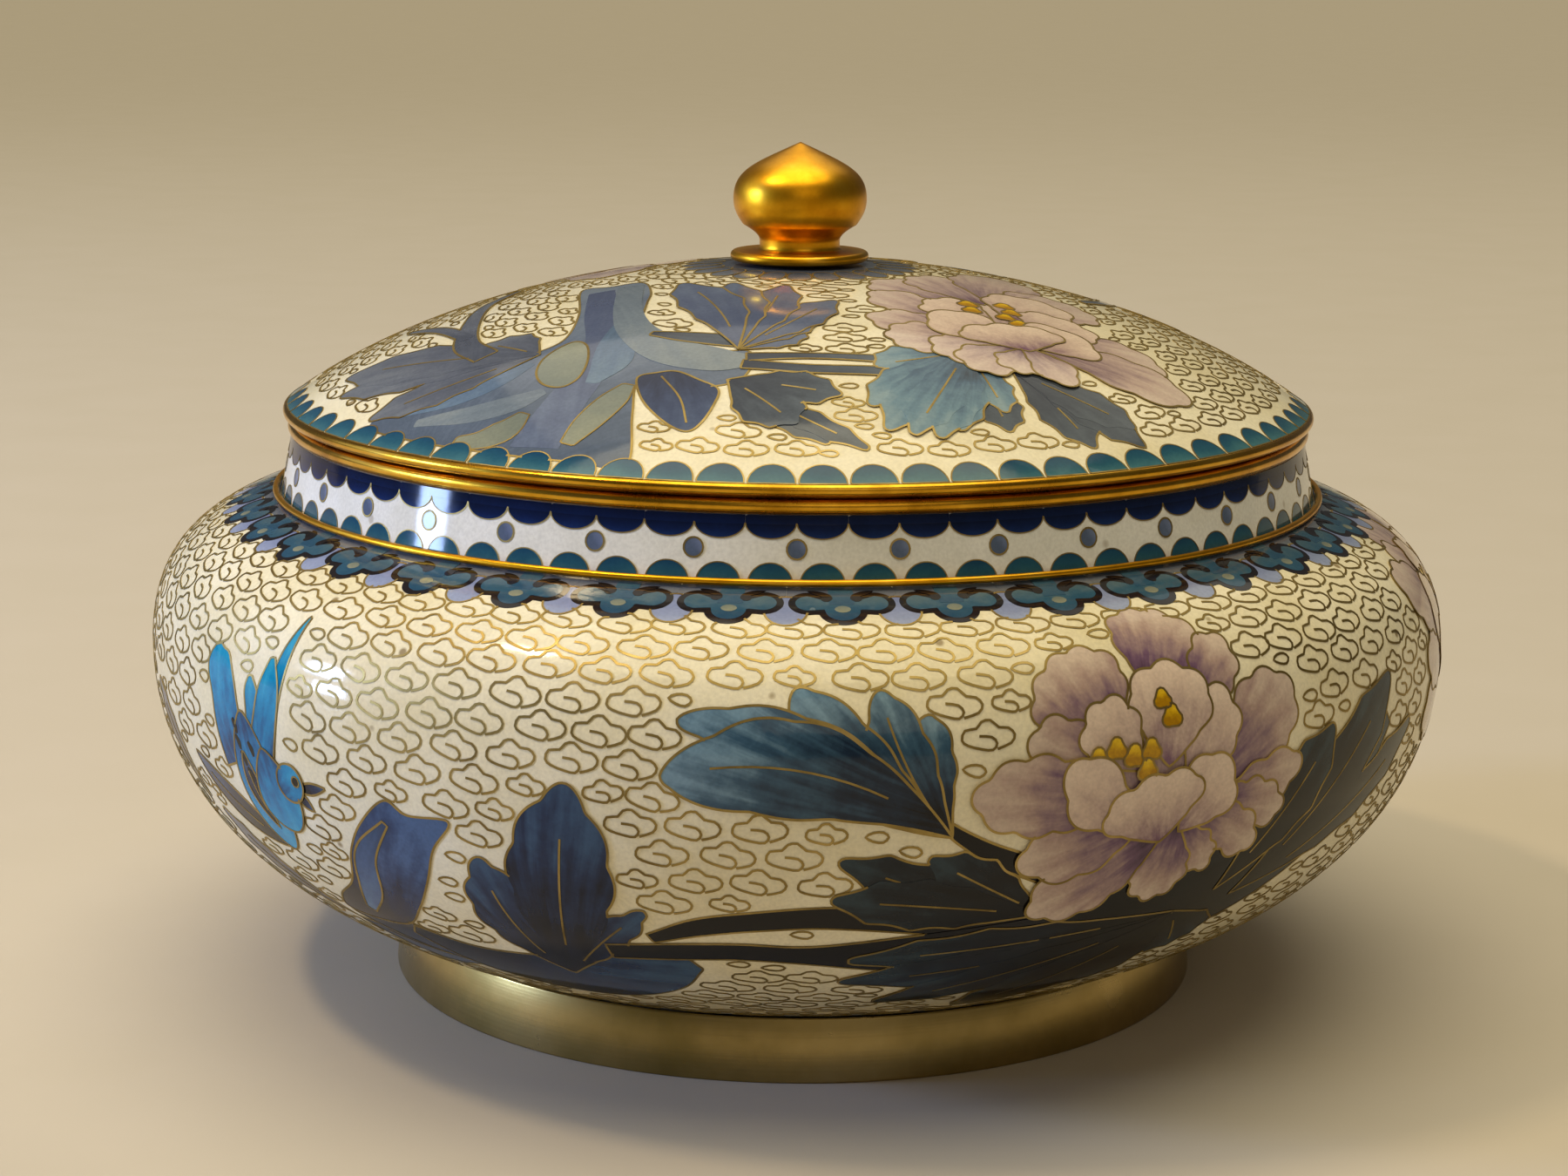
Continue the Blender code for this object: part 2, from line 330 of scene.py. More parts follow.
@dataclass(frozen=True)
class EnamelFinish:
    """Coloured glass, fired into the cells on copper, ground flush with the wires and polished by hand.

    The eye gets a hard, wet gloss with small waves in it, colour that drifts where the powder lay
    unevenly, and, in leaves and petals, strokes of the brush that laid one colour over the other.
    """

    name: str
    shades: tuple[str, ...]     # from a cell's root to its tip
    blend: float = 0.22         # how far the uneven powder moves a cell's shade
    mottle: float = 7.0         # mm, across a patch of it
    strokes: float = 0.0        # how far the strokes of the brush move it
    graded: bool = True         # whether the cell's own shade counts
    pits: float = 0.0           # strength of the brown spots, where small bubbles burst
    roughness: float = 0.08
    pit_spacing: float = 9.0    # mm
    stroke: float = 1.5         # mm, across a stroke
    grain: float = 0.5          # mm, across a grain
    wave: float = 4.5           # mm, across a wave of the polished face
    wave_depth: float = 0.05    # mm

    def material(self) -> bpy.types.Material:
        """Builds the material."""
        material, tree, shader, place = new_material(self.name)

        # Patches where the powder lay unevenly. Grains of the ground glass, about 0.1 mm, which are drawn at
        # 0.5 mm so that they show at all. Waves, which polishing with stone and charcoal leaves.
        patterns = ((self.mottle, 4.0, 0.6), (self.grain, 1.0, 0.5), (self.wave, 2.0, 0.5))
        patches, grains, waves = (
            add_node(tree, "TexNoise", {"Vector": place, "Scale": 1 / (across * MM), "Detail": detail,
                                        "Roughness": roughness}).outputs["Fac"]
            for across, detail, roughness in patterns)
        shade = add_node(tree, "MapRange", {"Value": patches, "From Min": 0.28, "From Max": 0.72,
                                            "To Min": -self.blend, "To Max": self.blend}).outputs["Result"]
        along: Socket | float = 0.5
        if self.graded:
            along = add_node(tree, "Attribute", attribute_name="shade").outputs["Fac"]
        shade = add_node(tree, "Math", {0: shade, 1: along}, operation="ADD").outputs["Value"]
        if self.graded and self.strokes:
            shade = self.brushed(tree, shade, along)
        last = max(1, len(self.shades) - 1)
        stops = [(i / last, colour) for i, colour in enumerate(self.shades)]
        colour = add_node(tree, "ValToRGB", {"Fac": shade}, stops=stops).outputs["Color"]
        tone = add_node(tree, "MapRange", {"Value": grains, "From Min": 0.3, "From Max": 0.7,
                                           "To Min": 0.94, "To Max": 1.06}).outputs["Result"]
        colour = add_node(tree, "HueSaturation", {"Color": colour, "Value": tone}).outputs["Color"]
        if self.pits:
            bubbles = add_node(tree, "TexVoronoi", {"Vector": place, "Scale": 1 / (self.pit_spacing * MM)})
            spot = add_node(tree, "MapRange", {"Value": bubbles.outputs["Distance"], "From Min": 0.05,
                                               "From Max": 0.09, "To Min": self.pits, "To Max": 0.0})
            mixed = add_node(tree, "Mix", {0: spot.outputs["Result"], 6: colour, 7: linear("#7A6232")},
                             data_type="RGBA")
            colour = mixed.outputs[2]
        tree.links.new(colour, shader.inputs["Base Color"])
        bump = add_node(tree, "Bump", {"Height": waves, "Strength": 0.3, "Distance": self.wave_depth * MM})
        tree.links.new(bump.outputs["Normal"], shader.inputs["Normal"])
        gloss = add_node(tree, "MapRange", {"Value": patches, "To Min": self.roughness - 0.03,
                                            "To Max": self.roughness + 0.04})
        tree.links.new(gloss.outputs["Result"], shader.inputs["Roughness"])
        shader.inputs["IOR"].default_value = 1.52
        shader.inputs["Specular IOR Level"].default_value = 0.28
        return material

    def brushed(self, tree: Tree, shade: Socket, along: Socket) -> Socket:
        """Adds brush strokes, which fan out from the root, to a cell's shade.

        A brush's own marks are too fine to show in the render, so they are drawn 1.5 mm wide.

        Args:
            tree: The material's node tree.
            shade: The shade so far.
            along: The cell's own shade, from its root to its tip.

        Returns:
            The shade with the strokes.
        """
        across = add_node(tree, "Attribute", attribute_name="fan").outputs["Fac"]
        across = add_node(tree, "Math", {0: across, 1: 1 / self.stroke}, operation="MULTIPLY")
        stretched = add_node(tree, "Math", {0: along, 1: 2.0}, operation="MULTIPLY")
        place = add_node(tree, "CombineXYZ", {"X": across.outputs["Value"], "Y": stretched.outputs["Value"]})
        strokes = add_node(tree, "TexNoise", {"Vector": place.outputs["Vector"], "Scale": 1.0, "Detail": 3.0})
        shift = add_node(tree, "MapRange", {"Value": strokes.outputs["Fac"], "From Min": 0.3, "From Max": 0.7,
                                            "To Min": -self.strokes, "To Max": self.strokes})
        added = add_node(tree, "Math", {0: shade, 1: shift.outputs["Result"]}, operation="ADD")
        return added.outputs["Value"]


@dataclass(frozen=True)
class BrassFinish:
    """Brass: spun or turned round the axis, or drawn to wire, then gilt or left bare.

    The eye gets warm, bright reflections drawn out along the fine marks of the tool, with duller and
    browner patches where fingers and air have tarnished it.
    """

    name: str
    shades: tuple[str, str, str]    # tarnished, usual and rubbed
    roughness: float
    line: float                     # mm between turning marks: a few times the real, so that they show
    line_depth: float               # mm
    patch: float = 14.0             # mm, across a patch of tarnish

    def material(self) -> bpy.types.Material:
        """Builds the material."""
        material, tree, shader, place = new_material(self.name)
        patches = add_node(tree, "TexNoise", {"Vector": place, "Scale": 1 / (self.patch * MM), "Detail": 5.0,
                                              "Roughness": 0.62}).outputs["Fac"]
        stops = list(zip((0.34, 0.52, 0.70), self.shades))
        colour = add_node(tree, "ValToRGB", {"Fac": patches}, stops=stops)
        tree.links.new(colour.outputs["Color"], shader.inputs["Base Color"])

        # Marks of turning and brushing run round the axis, so they depend on radius and height alone.
        flat = add_node(tree, "VectorMath", {0: place, 1: (1.0, 1.0, 0.0)}, operation="MULTIPLY")
        radius = add_node(tree, "VectorMath", {0: flat.outputs["Vector"]}, operation="LENGTH")
        height = add_node(tree, "SeparateXYZ", {"Vector": place})
        section = add_node(tree, "CombineXYZ", {"X": radius.outputs["Value"], "Y": height.outputs["Z"]})
        marks = add_node(tree, "TexNoise", {"Vector": section.outputs["Vector"],
                                            "Scale": 1 / (self.line * MM), "Detail": 2.0})
        bump = add_node(tree, "Bump", {"Height": marks.outputs["Fac"], "Strength": 0.5,
                                       "Distance": self.line_depth * MM})
        tree.links.new(bump.outputs["Normal"], shader.inputs["Normal"])
        gloss = add_node(tree, "MapRange", {"Value": patches, "From Min": 0.3, "From Max": 0.7,
                                            "To Min": self.roughness + 0.1, "To Max": self.roughness})
        tree.links.new(gloss.outputs["Result"], shader.inputs["Roughness"])
        shader.inputs["Metallic"].default_value = 1.0
        return material


class Enamel(Enum):
    """The enamels of the bowl, each a colour of fired glass."""

    # Opaque tin-white glass, warm on the body and cooler on the neck: even, with a few brown pinholes.
    CREAM = EnamelFinish("cream_enamel", ("#DBD2B0", "#E2DBC0", "#E8E3CD"), 0.5, 16.0, graded=False, pits=0.8)
    WHITE = EnamelFinish("white_enamel", ("#DADAD2", "#E2E3DE", "#EAEBE8"), 0.5, 12.0, graded=False, pits=0.4)

    # Plain glass on the copper's other side, which keeps it from warping: turquoise, a little uneven.
    COUNTER = EnamelFinish("turquoise_counter_enamel", ("#1A6474", "#277C8A", "#35909A"), 0.4, 12.0,
                           graded=False, roughness=0.14)

    # Cobalt and copper blues of the borders, laid flat or in two tones: deep, clean and glassy.
    NAVY = EnamelFinish("navy_enamel", ("#0C1632", "#101F48", "#182E62"))
    TEAL = EnamelFinish("teal_blue_enamel", ("#3E6C78", "#26546A", "#1C4462"))
    RUYI_BLUE = EnamelFinish("border_blue_enamel", ("#46606E", "#30546C", "#264A66"), 0.35, 3.0)
    RUYI_DARK = EnamelFinish("border_dark_enamel", ("#141216", "#1B181C", "#242024"))
    PERIWINKLE = EnamelFinish("periwinkle_enamel", ("#6E7AA4", "#7F8BB2", "#909CBE"))
    BEAD = EnamelFinish("grey_blue_enamel", ("#54627E", "#687698", "#7E8CAE"))

    # Leaves, stems and rocks: blues brushed wet into near-black, dark at the root and lighter at the tip.
    LEAF_BLUE = EnamelFinish("leaf_blue_enamel", ("#0A0C14", "#1A2A40", "#385670", "#7090A8"), 0.16, 5.0, 0.2)
    LEAF_NAVY = EnamelFinish("leaf_navy_enamel", ("#060609", "#0E1526", "#1C2E4E", "#345070"), 0.16, 6.0, 0.2)
    LEAF_DARK = EnamelFinish("leaf_dark_enamel", ("#060608", "#0A0C12", "#131C26", "#283A46"), 0.18, 6.0, 0.2)
    STEM = EnamelFinish("stem_enamel", ("#08080A", "#0D0C0F", "#141316"))
    ROCK = EnamelFinish("rock_enamel", ("#0C0E20", "#142242", "#284068", "#44608A"), 0.3, 8.0, 0.15)
    ROCK_PALE = EnamelFinish("pale_rock_enamel", ("#2A4264", "#3C5880", "#507090"), 0.25, 6.0, 0.2)
    SLATE = EnamelFinish("slate_enamel", ("#525E70", "#606C80", "#707C8C"), 0.3, 9.0, 0.2)
    SLATE_BLUE = EnamelFinish("blue_slate_enamel", ("#52647A", "#5C708A", "#6A7E92"), 0.3, 8.0, 0.2)
    SLATE_DEEP = EnamelFinish("deep_slate_enamel", ("#4A5470", "#545E78", "#626E86"), 0.3, 8.0, 0.2)
    SLATE_PALE = EnamelFinish("pale_slate_enamel", ("#64707E", "#707C88", "#7E888E"), 0.3, 8.0, 0.2)
    SLATE_DARK = EnamelFinish("dark_slate_enamel", ("#4A505E", "#5A606E", "#6C727C"), 0.3, 8.0, 0.2)
    SAGE = EnamelFinish("sage_enamel", ("#6E766E", "#7A8074", "#888C7A"), 0.3, 6.0)
    TEAL_LEAF = EnamelFinish("teal_leaf_enamel", ("#2C3A4A", "#46607A", "#648296", "#8098A4"), 0.2, 6.0, 0.2)
    DUSK_NAVY = EnamelFinish("dusky_navy_enamel", ("#222A44", "#34405E", "#465472"), 0.2, 6.0, 0.2)
    DUSK_DARK = EnamelFinish("dusky_dark_enamel", ("#2A303E", "#3A424E", "#4E5864"), 0.2, 6.0, 0.2)

    # Petals: plum at the root brushed out to pale pink, with a warm edge. Stamens: opaque yellow.
    PETAL = EnamelFinish("petal_enamel", ("#34203C", "#6C536E", "#AA938D", "#C9B8AC"), 0.14, 5.0, 0.13)
    PETAL_PALE = EnamelFinish("pale_petal_enamel", ("#74566E", "#AE9894", "#CCB8AC", "#D8C6B8"), 0.14, 4.0,
                              0.13)
    MAUVE = EnamelFinish("mauve_enamel", ("#6A5466", "#968286", "#BCA8A2", "#CABAB0"), 0.16, 7.0, 0.2)
    STAMEN = EnamelFinish("stamen_enamel", ("#A87C0C", "#D0A814", "#E2C02C"), 0.3, 2.0)

    # Plumage: copper turquoise over blue, the brightest colour on the bowl.
    BIRD = EnamelFinish("plumage_enamel", ("#063C68", "#0A6898", "#1484B2", "#2E98BE"), 0.2, 3.5, 0.25)


class Brass(Enum):
    """The brass of the bowl, by how each part is finished."""

    # Gilt over turned and buffed brass, on the rims: bright yellow, nearly a mirror, softened by handling.
    GILT = BrassFinish("gilt_turned_brass", ("#AC7A18", "#D8A22C", "#E6B848"), 0.2, 0.5, 0.0015)

    # The same gilt over cast and filed brass, on the finial and the neck's round bar: a soft, full glow.
    GILT_CAST = BrassFinish("gilt_cast_brass", ("#C88C12", "#E4A620", "#F0BA3C"), 0.3, 0.8, 0.001, 9.0)

    # Bare brass of the foot, brushed round with coarse grit: a satin sheen, drawn out sideways.
    BRUSHED = BrassFinish("brushed_brass", ("#907E48", "#AC965E", "#C0AA74"), 0.25, 0.35, 0.02, 30.0)

    # Flattened wire on edge, ground with the enamel: thin dull-gold lines, dark where it has tarnished.
    WIRE = BrassFinish("drawn_brass_wire", ("#7C6A40", "#9A8650", "#B09A64"), 0.45, 0.4, 0.002, 9.0)


@cache
def material_of(finish: Enum) -> bpy.types.Material:
    """The material of a finish, which is built once."""
    return finish.value.material()


# Pieces


def finish_piece(name: str, bm: bmesh.types.BMesh, finishes: Sequence[Enum],
                 stands_for: str | None = None, smooth: bool = True) -> None:
    """Makes a piece of the object from a bmesh, and frees the bmesh.

    Args:
        name: The piece's name.
        bm: Its mesh, in place.
        finishes: The finish of each material slot.
        stands_for: The CAD node that it replaces, if any.
        smooth: Whether its faces are shaded smooth.
    """
    mesh = bpy.data.meshes.new(name)
    bm.normal_update()
    for face in bm.faces:
        face.smooth = smooth
    for edge in bm.edges:
        edge.smooth = edge.calc_face_angle(0.0) < SHARP_ANGLE
    bm.to_mesh(mesh)
    bm.free()
    for finish in finishes:
        mesh.materials.append(material_of(finish))
    piece = bpy.data.objects.new(name, mesh)
    bpy.context.scene.collection.objects.link(piece)
    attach(piece, "root")
    if stands_for:
        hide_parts(stands_for)
    triangles = sum(len(polygon.vertices) - 2 for polygon in mesh.polygons)
    log.info("%-24s %7d triangles", name, triangles)


def turned(outline: Array, closed: bool, edge_round: float = 0.0) -> bmesh.types.BMesh:
    """Turns an outline round the Z axis.

    Args:
        outline: Radius and height of each point, in mm.
        closed: Whether the outline is a closed loop; an open one starts and ends on the axis.
        edge_round: Width in mm of the bevel on sharp edges; none at 0.

    Returns:
        The closed mesh, its faces pointing outwards.
    """
    bm = bmesh.new()
    verts = [bm.verts.new((r * MM, 0.0, z * MM)) for r, z in outline]
    edges = [bm.edges.new(pair) for pair in zip(verts, verts[1:])]
    if closed:
        edges.append(bm.edges.new((verts[-1], verts[0])))
    bmesh.ops.spin(bm, geom=verts + edges, cent=(0, 0, 0), axis=(0, 0, 1), dvec=(0, 0, 0),
                   angle=2 * math.pi, steps=ROUND_STEPS, use_merge=True, use_duplicate=False)
    bmesh.ops.remove_doubles(bm, verts=bm.verts, dist=0.0005 * MM)
    bmesh.ops.recalc_face_normals(bm, faces=bm.faces)
    if edge_round:
        sharp = [edge for edge in bm.edges if edge.calc_face_angle(0.0) > SHARP_ANGLE]
        bmesh.ops.bevel(bm, geom=sharp, offset=edge_round * MM, offset_type="OFFSET", segments=3, profile=0.5,
                        affect="EDGES", material=-1, clamp_overlap=True)
    return bm


# Grounds


class Ground:
    """The outside of a turned shell, and the flat sheet that is wrapped onto it.

    Each kind of ground says how: turn leads from the sheet to the shell, spot, near and around lead
    from drawn places to the sheet, and stretch compares their widths.
    """

    period = 0.0    # mm across the sheet until it meets itself; 0 where it doesn't

    def __init__(self, outline: Array, first: float = 0.0) -> None:
        """Takes the outline that the sheet lies on.

        Args:
            outline: Radius and height in mm of closely spaced points, with the shell on their right.
            first: Arc in mm of its first point.
        """
        steps = np.linalg.norm(np.diff(outline, axis=0), axis=1)
        self.outline = outline
        self.arcs = first + np.concatenate([[0.0], np.cumsum(steps)])
        along = np.gradient(outline, self.arcs, axis=0)
        self.normals = np.stack([-along[:, 1], along[:, 0]], axis=1)
        self.normals /= np.linalg.norm(self.normals, axis=1)[:, None]

    def radius(self, arc: float) -> float:
        """Radius in mm at an arc."""
        return float(np.interp(arc, self.arcs, self.outline[:, 0]))

    def section(self, values: Array, azimuth: Array, arc: Array) -> Array:
        """Turns what an outline has at an arc, such as its points or normals, to an azimuth.

        Args:
            values: Outward and upward part for each point of the outline.
            azimuth: In radians, from the front to the right.
            arc: In mm along the outline.

        Returns:
            The parts along x, y and z.
        """
        out = np.interp(arc, self.arcs, values[:, 0])
        up = np.interp(arc, self.arcs, values[:, 1])
        return np.stack([out * np.sin(azimuth), -out * np.cos(azimuth), up], axis=1)

    def facing(self, sheet: Array) -> Array:
        """The shell's outward directions at points of the sheet."""
        azimuth, arc = self.turn(sheet)
        return self.section(self.normals, azimuth, arc)

    def place(self, sheet: Array, lift: float | Array) -> Array:
        """Points on the shell, or lifted off it.

        Args:
            sheet: Points of the sheet.
            lift: Height over the shell in mm.

        Returns:
            Points in mm.
        """
        azimuth, arc = self.turn(sheet)
        lifts = np.broadcast_to(lift, len(sheet))[:, None]
        return self.section(self.outline, azimuth, arc) + self.section(self.normals, azimuth, arc) * lifts


class SideGround(Ground):
    """A side whose sheet is rolled off it: figures give azimuth in degrees and arc in mm."""

    period = 2 * math.pi * SHEET_RADIUS

    def turn(self, sheet: Array) -> tuple[Array, Array]:
        """Azimuth in radians and arc in mm of points on the sheet."""
        return sheet[:, 0] / SHEET_RADIUS, -sheet[:, 1]

    def spot(self, place: Point, at: float, mirrored: bool) -> Array:
        """The sheet's point for an azimuth in degrees and an arc in mm."""
        azimuth = at - place[0] if mirrored else at + place[0]
        return np.array([math.radians(azimuth) * SHEET_RADIUS, -place[1]])

    def near(self, place: Point, point: Point, at: float, mirrored: bool) -> Array:
        """The sheet's point that lies some mm round the side and up from a place."""
        start = self.spot(place, at, mirrored)
        x = -point[0] if mirrored else point[0]
        return start + (x / self.stretch(start), point[1])

    def around(self, azimuth: float, arc: float, points: Array) -> Array:
        """Sheet points of a small drawing in mm, upright at an azimuth in degrees and an arc in mm."""
        centre = self.spot((azimuth, arc), 0.0, False)
        return centre + points * (SHEET_RADIUS / self.radius(arc), 1.0)

    def stretch(self, sheet: Array) -> float:
        """Mm of shell for each mm across the sheet."""
        return self.radius(-sheet[1]) / SHEET_RADIUS


class DomeGround(Ground):
    """A dome whose sheet lies over it, seen from above: figures give mm to the right and to the back."""

    def turn(self, sheet: Array) -> tuple[Array, Array]:
        """Azimuth in radians and arc in mm of points on the sheet."""
        return np.arctan2(sheet[:, 0], -sheet[:, 1]), np.linalg.norm(sheet, axis=1)

    def spot(self, place: Point, at: float, mirrored: bool) -> Array:
        """The sheet's point for mm to the right and to the back, turned about the crown."""
        x = -place[0] if mirrored else place[0]
        angle = math.radians(at)
        return np.array([x * math.cos(angle) - place[1] * math.sin(angle),
                         x * math.sin(angle) + place[1] * math.cos(angle)])

    def near(self, place: Point, point: Point, at: float, mirrored: bool) -> Array:
        """The sheet's point that lies some mm to the right and to the back of a place."""
        return self.spot((place[0] + point[0], place[1] + point[1]), at, mirrored)

    def around(self, azimuth: float, arc: float, points: Array) -> Array:
        """Sheet points of a small drawing in mm whose top is towards the crown."""
        angle = math.radians(azimuth)
        right = np.array([math.cos(angle), math.sin(angle)]) * arc / self.radius(arc)
        up = np.array([-math.sin(angle), math.cos(angle)])
        return -up * arc + points[:, :1] * right + points[:, 1:] * up

    def stretch(self, sheet: Array) -> float:
        """Mm of shell for each mm of sheet: nearly the same all over a shallow dome."""
        return 1.0


# Drawing


@dataclass
class Cell:
    """An area of one enamel, closed in by its wire."""

    outline: Array     # on the sheet
    enamel: Enamel
    root: Array        # where its shade is 0
    tip: Array         # where its shade is 1
    wire_width: float = WIRE_WIDTH
    leaf: object = None     # cells of one leaf share one wire round them all
    lift: float = FIRST_LIFT

    def shade(self, points: Array) -> Array:
        """Shade at points of the sheet, 0 at the cell's root and 1 at its tip."""
        along = self.tip - self.root
        return np.clip((points - self.root) @ along / max(along @ along, 1e-9), 0.0, 1.0)

    def fan(self, points: Array) -> Array:
        """Place in mm across the brush strokes that fan out from behind the root."""
        along = self.tip - self.root
        length = max(float(np.linalg.norm(along)), 1e-6)
        way = along / length
        away = points - self.root + FAN_START * along
        return np.arctan2(away @ (-way[1], way[0]), np.maximum(away @ way, 0.01)) * length


@dataclass
class Wire:
    """A brass wire that stands on edge between enamels and is ground flush with them."""

    path: Array        # on the sheet
    closed: bool
    width: float = WIRE_WIDTH
    lift: float = FIRST_LIFT

    def shown(self, hidden: Array) -> list["Wire"]:
        """Cuts the wire where something covers it.

        Args:
            hidden: Whether each of its points is covered.

        Returns:
            The stretches that show.
        """
        if not hidden.any():
            return [self]
        if hidden.all():
            return []
        path = self.path
        if self.closed:
            first = int(np.flatnonzero(hidden)[0])
            path = np.vstack([np.roll(path, -first, axis=0), path[first:first + 1]])
            hidden = np.append(np.roll(hidden, -first), True)
        marks = np.flatnonzero(np.diff(np.concatenate([[True], hidden, [True]]).astype(int)))
        runs = [path[max(start - 1, 0):end + 1] for start, end in zip(marks[::2], marks[1::2])]
        return [Wire(run, False, self.width, self.lift) for run in runs if len(run) >= SHORTEST_RUN]


@dataclass
class Figure:
    """The cells of one motif, in the order in which they are laid."""

    name: str
    cells: list[Cell] = field(default_factory=list)
    ribs: list[tuple[int, Array]] = field(default_factory=list)    # cell's number, and its path


@dataclass(frozen=True)
class Lobe:
    """One leaf, petal or feather shape, from its root to its tip."""

    root: Point
    tip: Point
    width: float                # mm
    bend: float = 0.0           # of its middle line, as a share of its length
    fullness: float = 1.3       # higher is widest nearer to the tip
    bluntness: float = 0.75     # lower is rounder at the ends
    waves: float = 0.0          # waves of its edge from tip to root
    depth: float = 0.8          # mm, of the waves
    toothed: bool = False       # whether the waves are teeth, not ruffles
    wavy: float = 0.78          # share of its length, from the tip, that the waves reach
    fading: float = 0.25        # share over which they fade
    spacing: float = 0.4        # mm between the points of a wavy edge

    def outline(self, root: Array, tip: Array, stretch: float, flip: float) -> Array:
        """The lobe's closed outline on the sheet.

        Args:
            root: Its root on the sheet.
            tip: Its tip on the sheet.
            stretch: Mm of shell for each mm across the sheet.
            flip: 1, or -1 where the figure is mirrored.

        Returns:
            The outline's points.
        """
        axis = (tip - root) * (stretch, 1.0)
        run = (1 - np.cos(np.linspace(0.0, math.pi, 33))) / 2
        middle = self.middle(run, axis, flip)
        aside = np.array([-axis[1], axis[0]]) / np.linalg.norm(axis)
        half = self.width / 2 * np.abs(np.sin(math.pi * run**self.fullness)) ** self.bluntness
        line = np.vstack([middle + half[:, None] * aside, (middle - half[:, None] * aside)[-2:0:-1]])
        if self.waves:
            line = self.pushed_out(resampled(line, self.spacing, True), axis)
        return root + line / (stretch, 1.0)

    def middle(self, run: Array, axis: Array, flip: float) -> Array:
        """Points of its bent middle line in mm from the root, at shares of its length."""
        aside = np.array([-axis[1], axis[0]]) * self.bend * flip
        return run[:, None] * axis + (2 * run * (1 - run))[:, None] * aside

    def pushed_out(self, line: Array, axis: Array) -> Array:
        """Pushes ruffles or teeth out of the outline round the tip.

        Args:
            line: The plain outline in mm, from the root round the tip.
            axis: From the root to the tip.

        Returns:
            The wavy outline.
        """
        far = np.abs(2 * np.arange(len(line)) / len(line) - 1)
        reach = np.clip((self.wavy - far) / self.fading, 0.0, 1.0)
        waves = np.abs(np.cos(math.pi * self.waves * far))
        if self.toothed:
            waves = 1 - np.abs(np.sin(math.pi * self.waves * far))
        along = np.roll(line, -1, axis=0) - np.roll(line, 1, axis=0)
        outwards = np.stack([along[:, 1], -along[:, 0]], axis=1)
        outwards /= np.maximum(np.linalg.norm(outwards, axis=1)[:, None], 1e-9)
        if np.sum(outwards * (line - axis / 2)) < 0:
            outwards = -outwards
        return line + outwards * (reach * waves * self.depth)[:, None]


@dataclass
class Pen:
    """Draws figures on a ground, turned to an azimuth and mirrored if wanted."""

    ground: Ground
    at: float = 0.0
    mirrored: bool = False

    @property
    def flip(self) -> float:
        """1, or -1 where the figures are mirrored."""
        return -1.0 if self.mirrored else 1.0

    def spot(self, place: Sequence[float]) -> Array:
        """The sheet's point for a place."""
        return self.ground.spot(place, self.at, self.mirrored)

    def near(self, place: Point, point: Point) -> Array:
        """The sheet's point that lies some mm to the right of a place and up from it."""
        return self.ground.near(place, point, self.at, self.mirrored)

    def lobe(self, figure: Figure, lobe: Lobe, enamel: Enamel, rib: float = 0.0, leaf: object = None) -> None:
        """Adds a lobe to a figure.

        Args:
            figure: The figure.
            lobe: The lobe, in the ground's places.
            enamel: Its enamel.
            rib: Share of its length that its rib reaches to; none at 0.
            leaf: The leaf that it is part of, if any.
        """
        root, tip = self.spot(lobe.root), self.spot(lobe.tip)
        stretch = self.ground.stretch((root + tip) / 2)
        figure.cells.append(Cell(lobe.outline(root, tip, stretch, self.flip), enamel, root, tip, leaf=leaf))
        if rib:
            run = np.linspace(RIB_START, rib, 10)
            middle = lobe.middle(run, (tip - root) * (stretch, 1.0), self.flip)
            figure.ribs.append((len(figure.cells) - 1, root + middle / (stretch, 1.0)))

    def area(self, figure: Figure, places: Sequence[Point], enamel: Enamel, root: Point, tip: Point) -> None:
        """Adds a smooth closed area to a figure.

        Args:
            figure: The figure.
            places: Places that its outline passes through.
            enamel: Its enamel.
            root: Where its shade is 0.
            tip: Where its shade is 1.
        """
        outline = smooth_line([self.spot(place) for place in places], CURVE_PIECES, closed=True)
        figure.cells.append(Cell(outline, enamel, self.spot(root), self.spot(tip)))

    def bough(self, figure: Figure, knots: Sequence[Triple], enamel: Enamel,
              leaf: object = None, wire: float = WIRE_WIDTH) -> None:
        """Adds a branch or stem that follows a few knots.

        Args:
            figure: The figure.
            knots: Place and width in mm at each knot.
            enamel: Its enamel.
            leaf: The leaf that it is part of, if any.
            wire: Width of its wire in mm; none at 0.
        """
        spots = np.array([self.spot(knot[:2]) for knot in knots])
        stretch = self.ground.stretch(spots[len(spots) // 2])
        widths = np.array([[knot[2]] for knot in knots])
        line = smooth_line(np.hstack([spots * (stretch, 1.0), widths]), CURVE_PIECES)
        along = np.gradient(line[:, :2], axis=0)
        aside = np.stack([-along[:, 1], along[:, 0]], axis=1)
        aside *= line[:, 2:] / 2 / np.linalg.norm(aside, axis=1)[:, None]
        outline = np.vstack([line[:, :2] + aside, (line[:, :2] - aside)[::-1]]) / (stretch, 1.0)
        figure.cells.append(Cell(outline, enamel, spots[0], spots[-1], wire, leaf))


